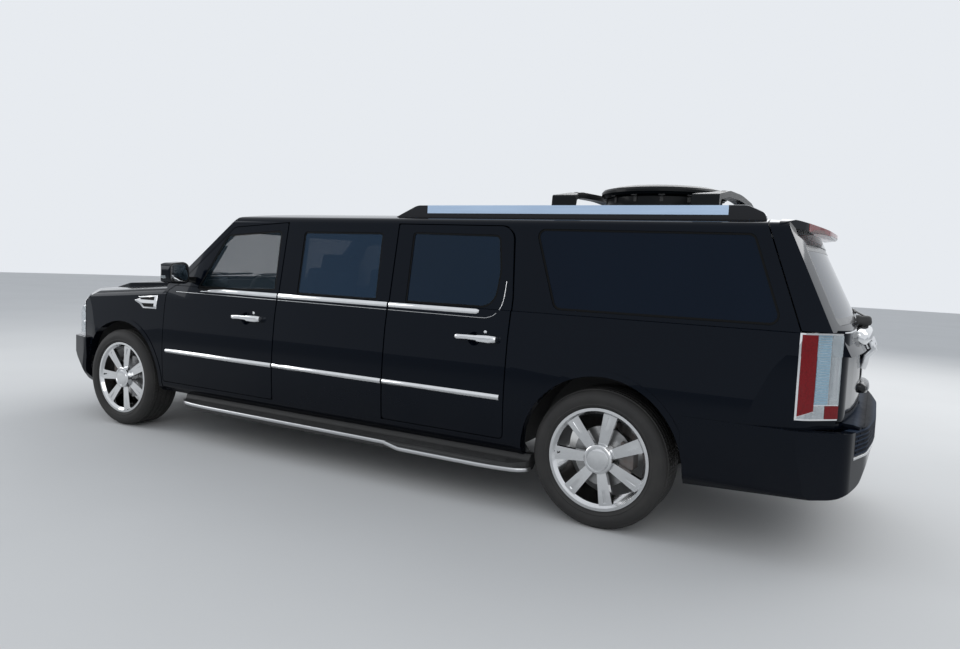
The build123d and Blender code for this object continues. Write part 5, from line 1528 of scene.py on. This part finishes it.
class LIMO_OT_stage(bpy.types.Operator):
    """Lay the floor and set the lights and the camera"""

    bl_idname = "limo.stage"
    bl_label = "Stage"

    def execute(self, context):
        look = context.scene.limousine
        bm = bmesh.new()
        bmesh.ops.create_circle(bm, cap_ends=True, radius=look.floor_radius, segments=96)
        mesh = bpy.data.meshes.new("floor")
        bm.to_mesh(mesh)
        bm.free()
        ground = bpy.data.objects.new("floor", mesh)
        context.scene.collection.objects.link(ground)
        finish = Finish("studio_floor", roughness=0.85, specular_ior_level=0.2)
        patch = finish.noise(0.6, 3.0)
        finish.feed(base_color=finish.blend(patch, (0.60, 0.60, 0.59), (0.66, 0.66, 0.65)))
        mesh.materials.append(finish.material)
        lamps = (("key", (-3.0, -7.5, 7.5), 16.0, 9.0, 700.0), ("fill", (-6.0, 8.5, 5.5), 8.0, 5.0, 190.0),
                 ("nose", (9.0, 4.0, 4.5), 5.0, 4.0, 170.0))
        for name, place, width, depth, power in lamps:
            data = bpy.data.lights.new(name, "AREA")
            data.shape = "RECTANGLE"
            data.size, data.size_y, data.energy = width, depth, power
            lamp = bpy.data.objects.new(name, data)
            lamp.location = place
            lamp.rotation_euler = (Vector((0, 0, 0.9)) - Vector(place)).to_track_quat("-Z", "Y").to_euler()
            context.scene.collection.objects.link(lamp)
        self.sky(context)
        self.camera(context)
        return {"FINISHED"}

    def sky(self, context):
        """Even soft light, with a pale background where the camera, gloss and glass see it."""
        world = bpy.data.worlds.new("studio")
        world.use_nodes = True
        context.scene.world = world
        tree = world.node_tree
        path = tree.nodes.new("ShaderNodeLightPath")
        seen = path.outputs["Is Camera Ray"]
        for name in ("Is Glossy Ray", "Is Transmission Ray"):
            either = tree.nodes.new("ShaderNodeMath")
            either.operation = "MAXIMUM"
            tree.links.new(seen, either.inputs[0])
            tree.links.new(path.outputs[name], either.inputs[1])
            seen = either.outputs[0]
        mix = tree.nodes.new("ShaderNodeMix")
        mix.data_type = "RGBA"
        tree.links.new(seen, mix.inputs["Factor"])
        mix.inputs[6].default_value = (0.62, 0.66, 0.72, 1.0)
        mix.inputs[7].default_value = (0.80, 0.83, 0.87, 1.0)
        tree.links.new(mix.outputs[2], tree.nodes["Background"].inputs["Color"])
        context.scene.view_settings.view_transform = "Standard"

    def camera(self, context):
        """Camera at the photograph's place and angle."""
        eye = Vector((-3.2457, 4.8931, 1.4892))
        yaw, pitch, roll = radians(-61.4314), radians(-4.2521), radians(2.4641)
        focal_px, middle_px, image_width, image_height = 726.98, 317.94, 960.0, 649.0
        forward = Vector((cos(yaw) * cos(pitch), sin(yaw) * cos(pitch), sin(pitch)))
        level = forward.cross(Vector((0, 0, 1))).normalized()
        over = level.cross(forward)
        right = level * cos(roll) + over * sin(roll)
        up = over * cos(roll) - level * sin(roll)
        data = bpy.data.cameras.new("camera")
        data.sensor_width = 36.0
        data.lens = focal_px / image_width * data.sensor_width
        data.shift_y = (middle_px - image_height / 2) / image_width
        data.clip_end = 200.0
        eye_object = bpy.data.objects.new("camera", data)
        turn = Matrix((right, up, -forward)).transposed().to_4x4()
        eye_object.matrix_world = Matrix.Translation(eye) @ turn
        context.scene.collection.objects.link(eye_object)
        context.scene.camera = eye_object


class LimousineLook(bpy.types.PropertyGroup):
    """Sizes and colours that a user would change"""

    paint: FloatVectorProperty(name="Paint", description="Colour of the body paint", subtype="COLOR",
                               default=(0.0010, 0.0022, 0.0050), min=0.0, max=1.0)
    belt_height: FloatProperty(name="Belt height", description="Lower edge of the belt moulding", unit="LENGTH",
                               default=1.179)
    belt_width: FloatProperty(name="Moulding width", description="Height of the bright mouldings", unit="LENGTH",
                              default=0.031)
    moulding_height: FloatProperty(name="Door moulding height", description="Lower edge of the door moulding",
                                   unit="LENGTH", default=0.672)
    tread_blocks: IntProperty(name="Tread blocks", description="Blocks round each rib of the tread", default=96)
    floor_radius: FloatProperty(name="Floor radius", description="Radius of the studio floor", unit="LENGTH",
                                default=40.0)


OPERATORS = [LIMO_OT_finishes, LIMO_OT_tyres, LIMO_OT_wheel_caps, LIMO_OT_side_mouldings, LIMO_OT_handles,
             LIMO_OT_window_seals, LIMO_OT_roof_trim, LIMO_OT_board_trim, LIMO_OT_mirrors, LIMO_OT_headlamps,
             LIMO_OT_front_trim, LIMO_OT_wipers, LIMO_OT_fender_vents, LIMO_OT_tail_lamps, LIMO_OT_liftgate_trim,
             LIMO_OT_bumper_trim, LIMO_OT_seats, LIMO_OT_cockpit, LIMO_OT_linings, LIMO_OT_stage]


class LIMO_PT_panel(bpy.types.Panel):
    """Sidebar panel with every step"""

    bl_idname = "LIMO_PT_panel"
    bl_label = "Limousine"
    bl_space_type = "VIEW_3D"
    bl_region_type = "UI"
    bl_category = "Limousine"

    def draw(self, context):
        for name in LimousineLook.__annotations__:
            self.layout.prop(context.scene.limousine, name)
        for operator in OPERATORS:
            self.layout.operator(operator.bl_idname)


def register():
    """Registers the classes and the scene's settings."""
    for cls in (LimousineLook, *OPERATORS, LIMO_PT_panel):
        bpy.utils.register_class(cls)
    bpy.types.Scene.limousine = PointerProperty(type=LimousineLook)


def unregister():
    """Takes the classes and settings out again."""
    del bpy.types.Scene.limousine
    for cls in reversed((LimousineLook, *OPERATORS, LIMO_PT_panel)):
        bpy.utils.unregister_class(cls)


def main():
    """Runs every step in order."""
    register()
    for operator in OPERATORS:
        group, step = operator.bl_idname.split(".")
        getattr(getattr(bpy.ops, group), step)()


if __name__ == "__main__":
    main()
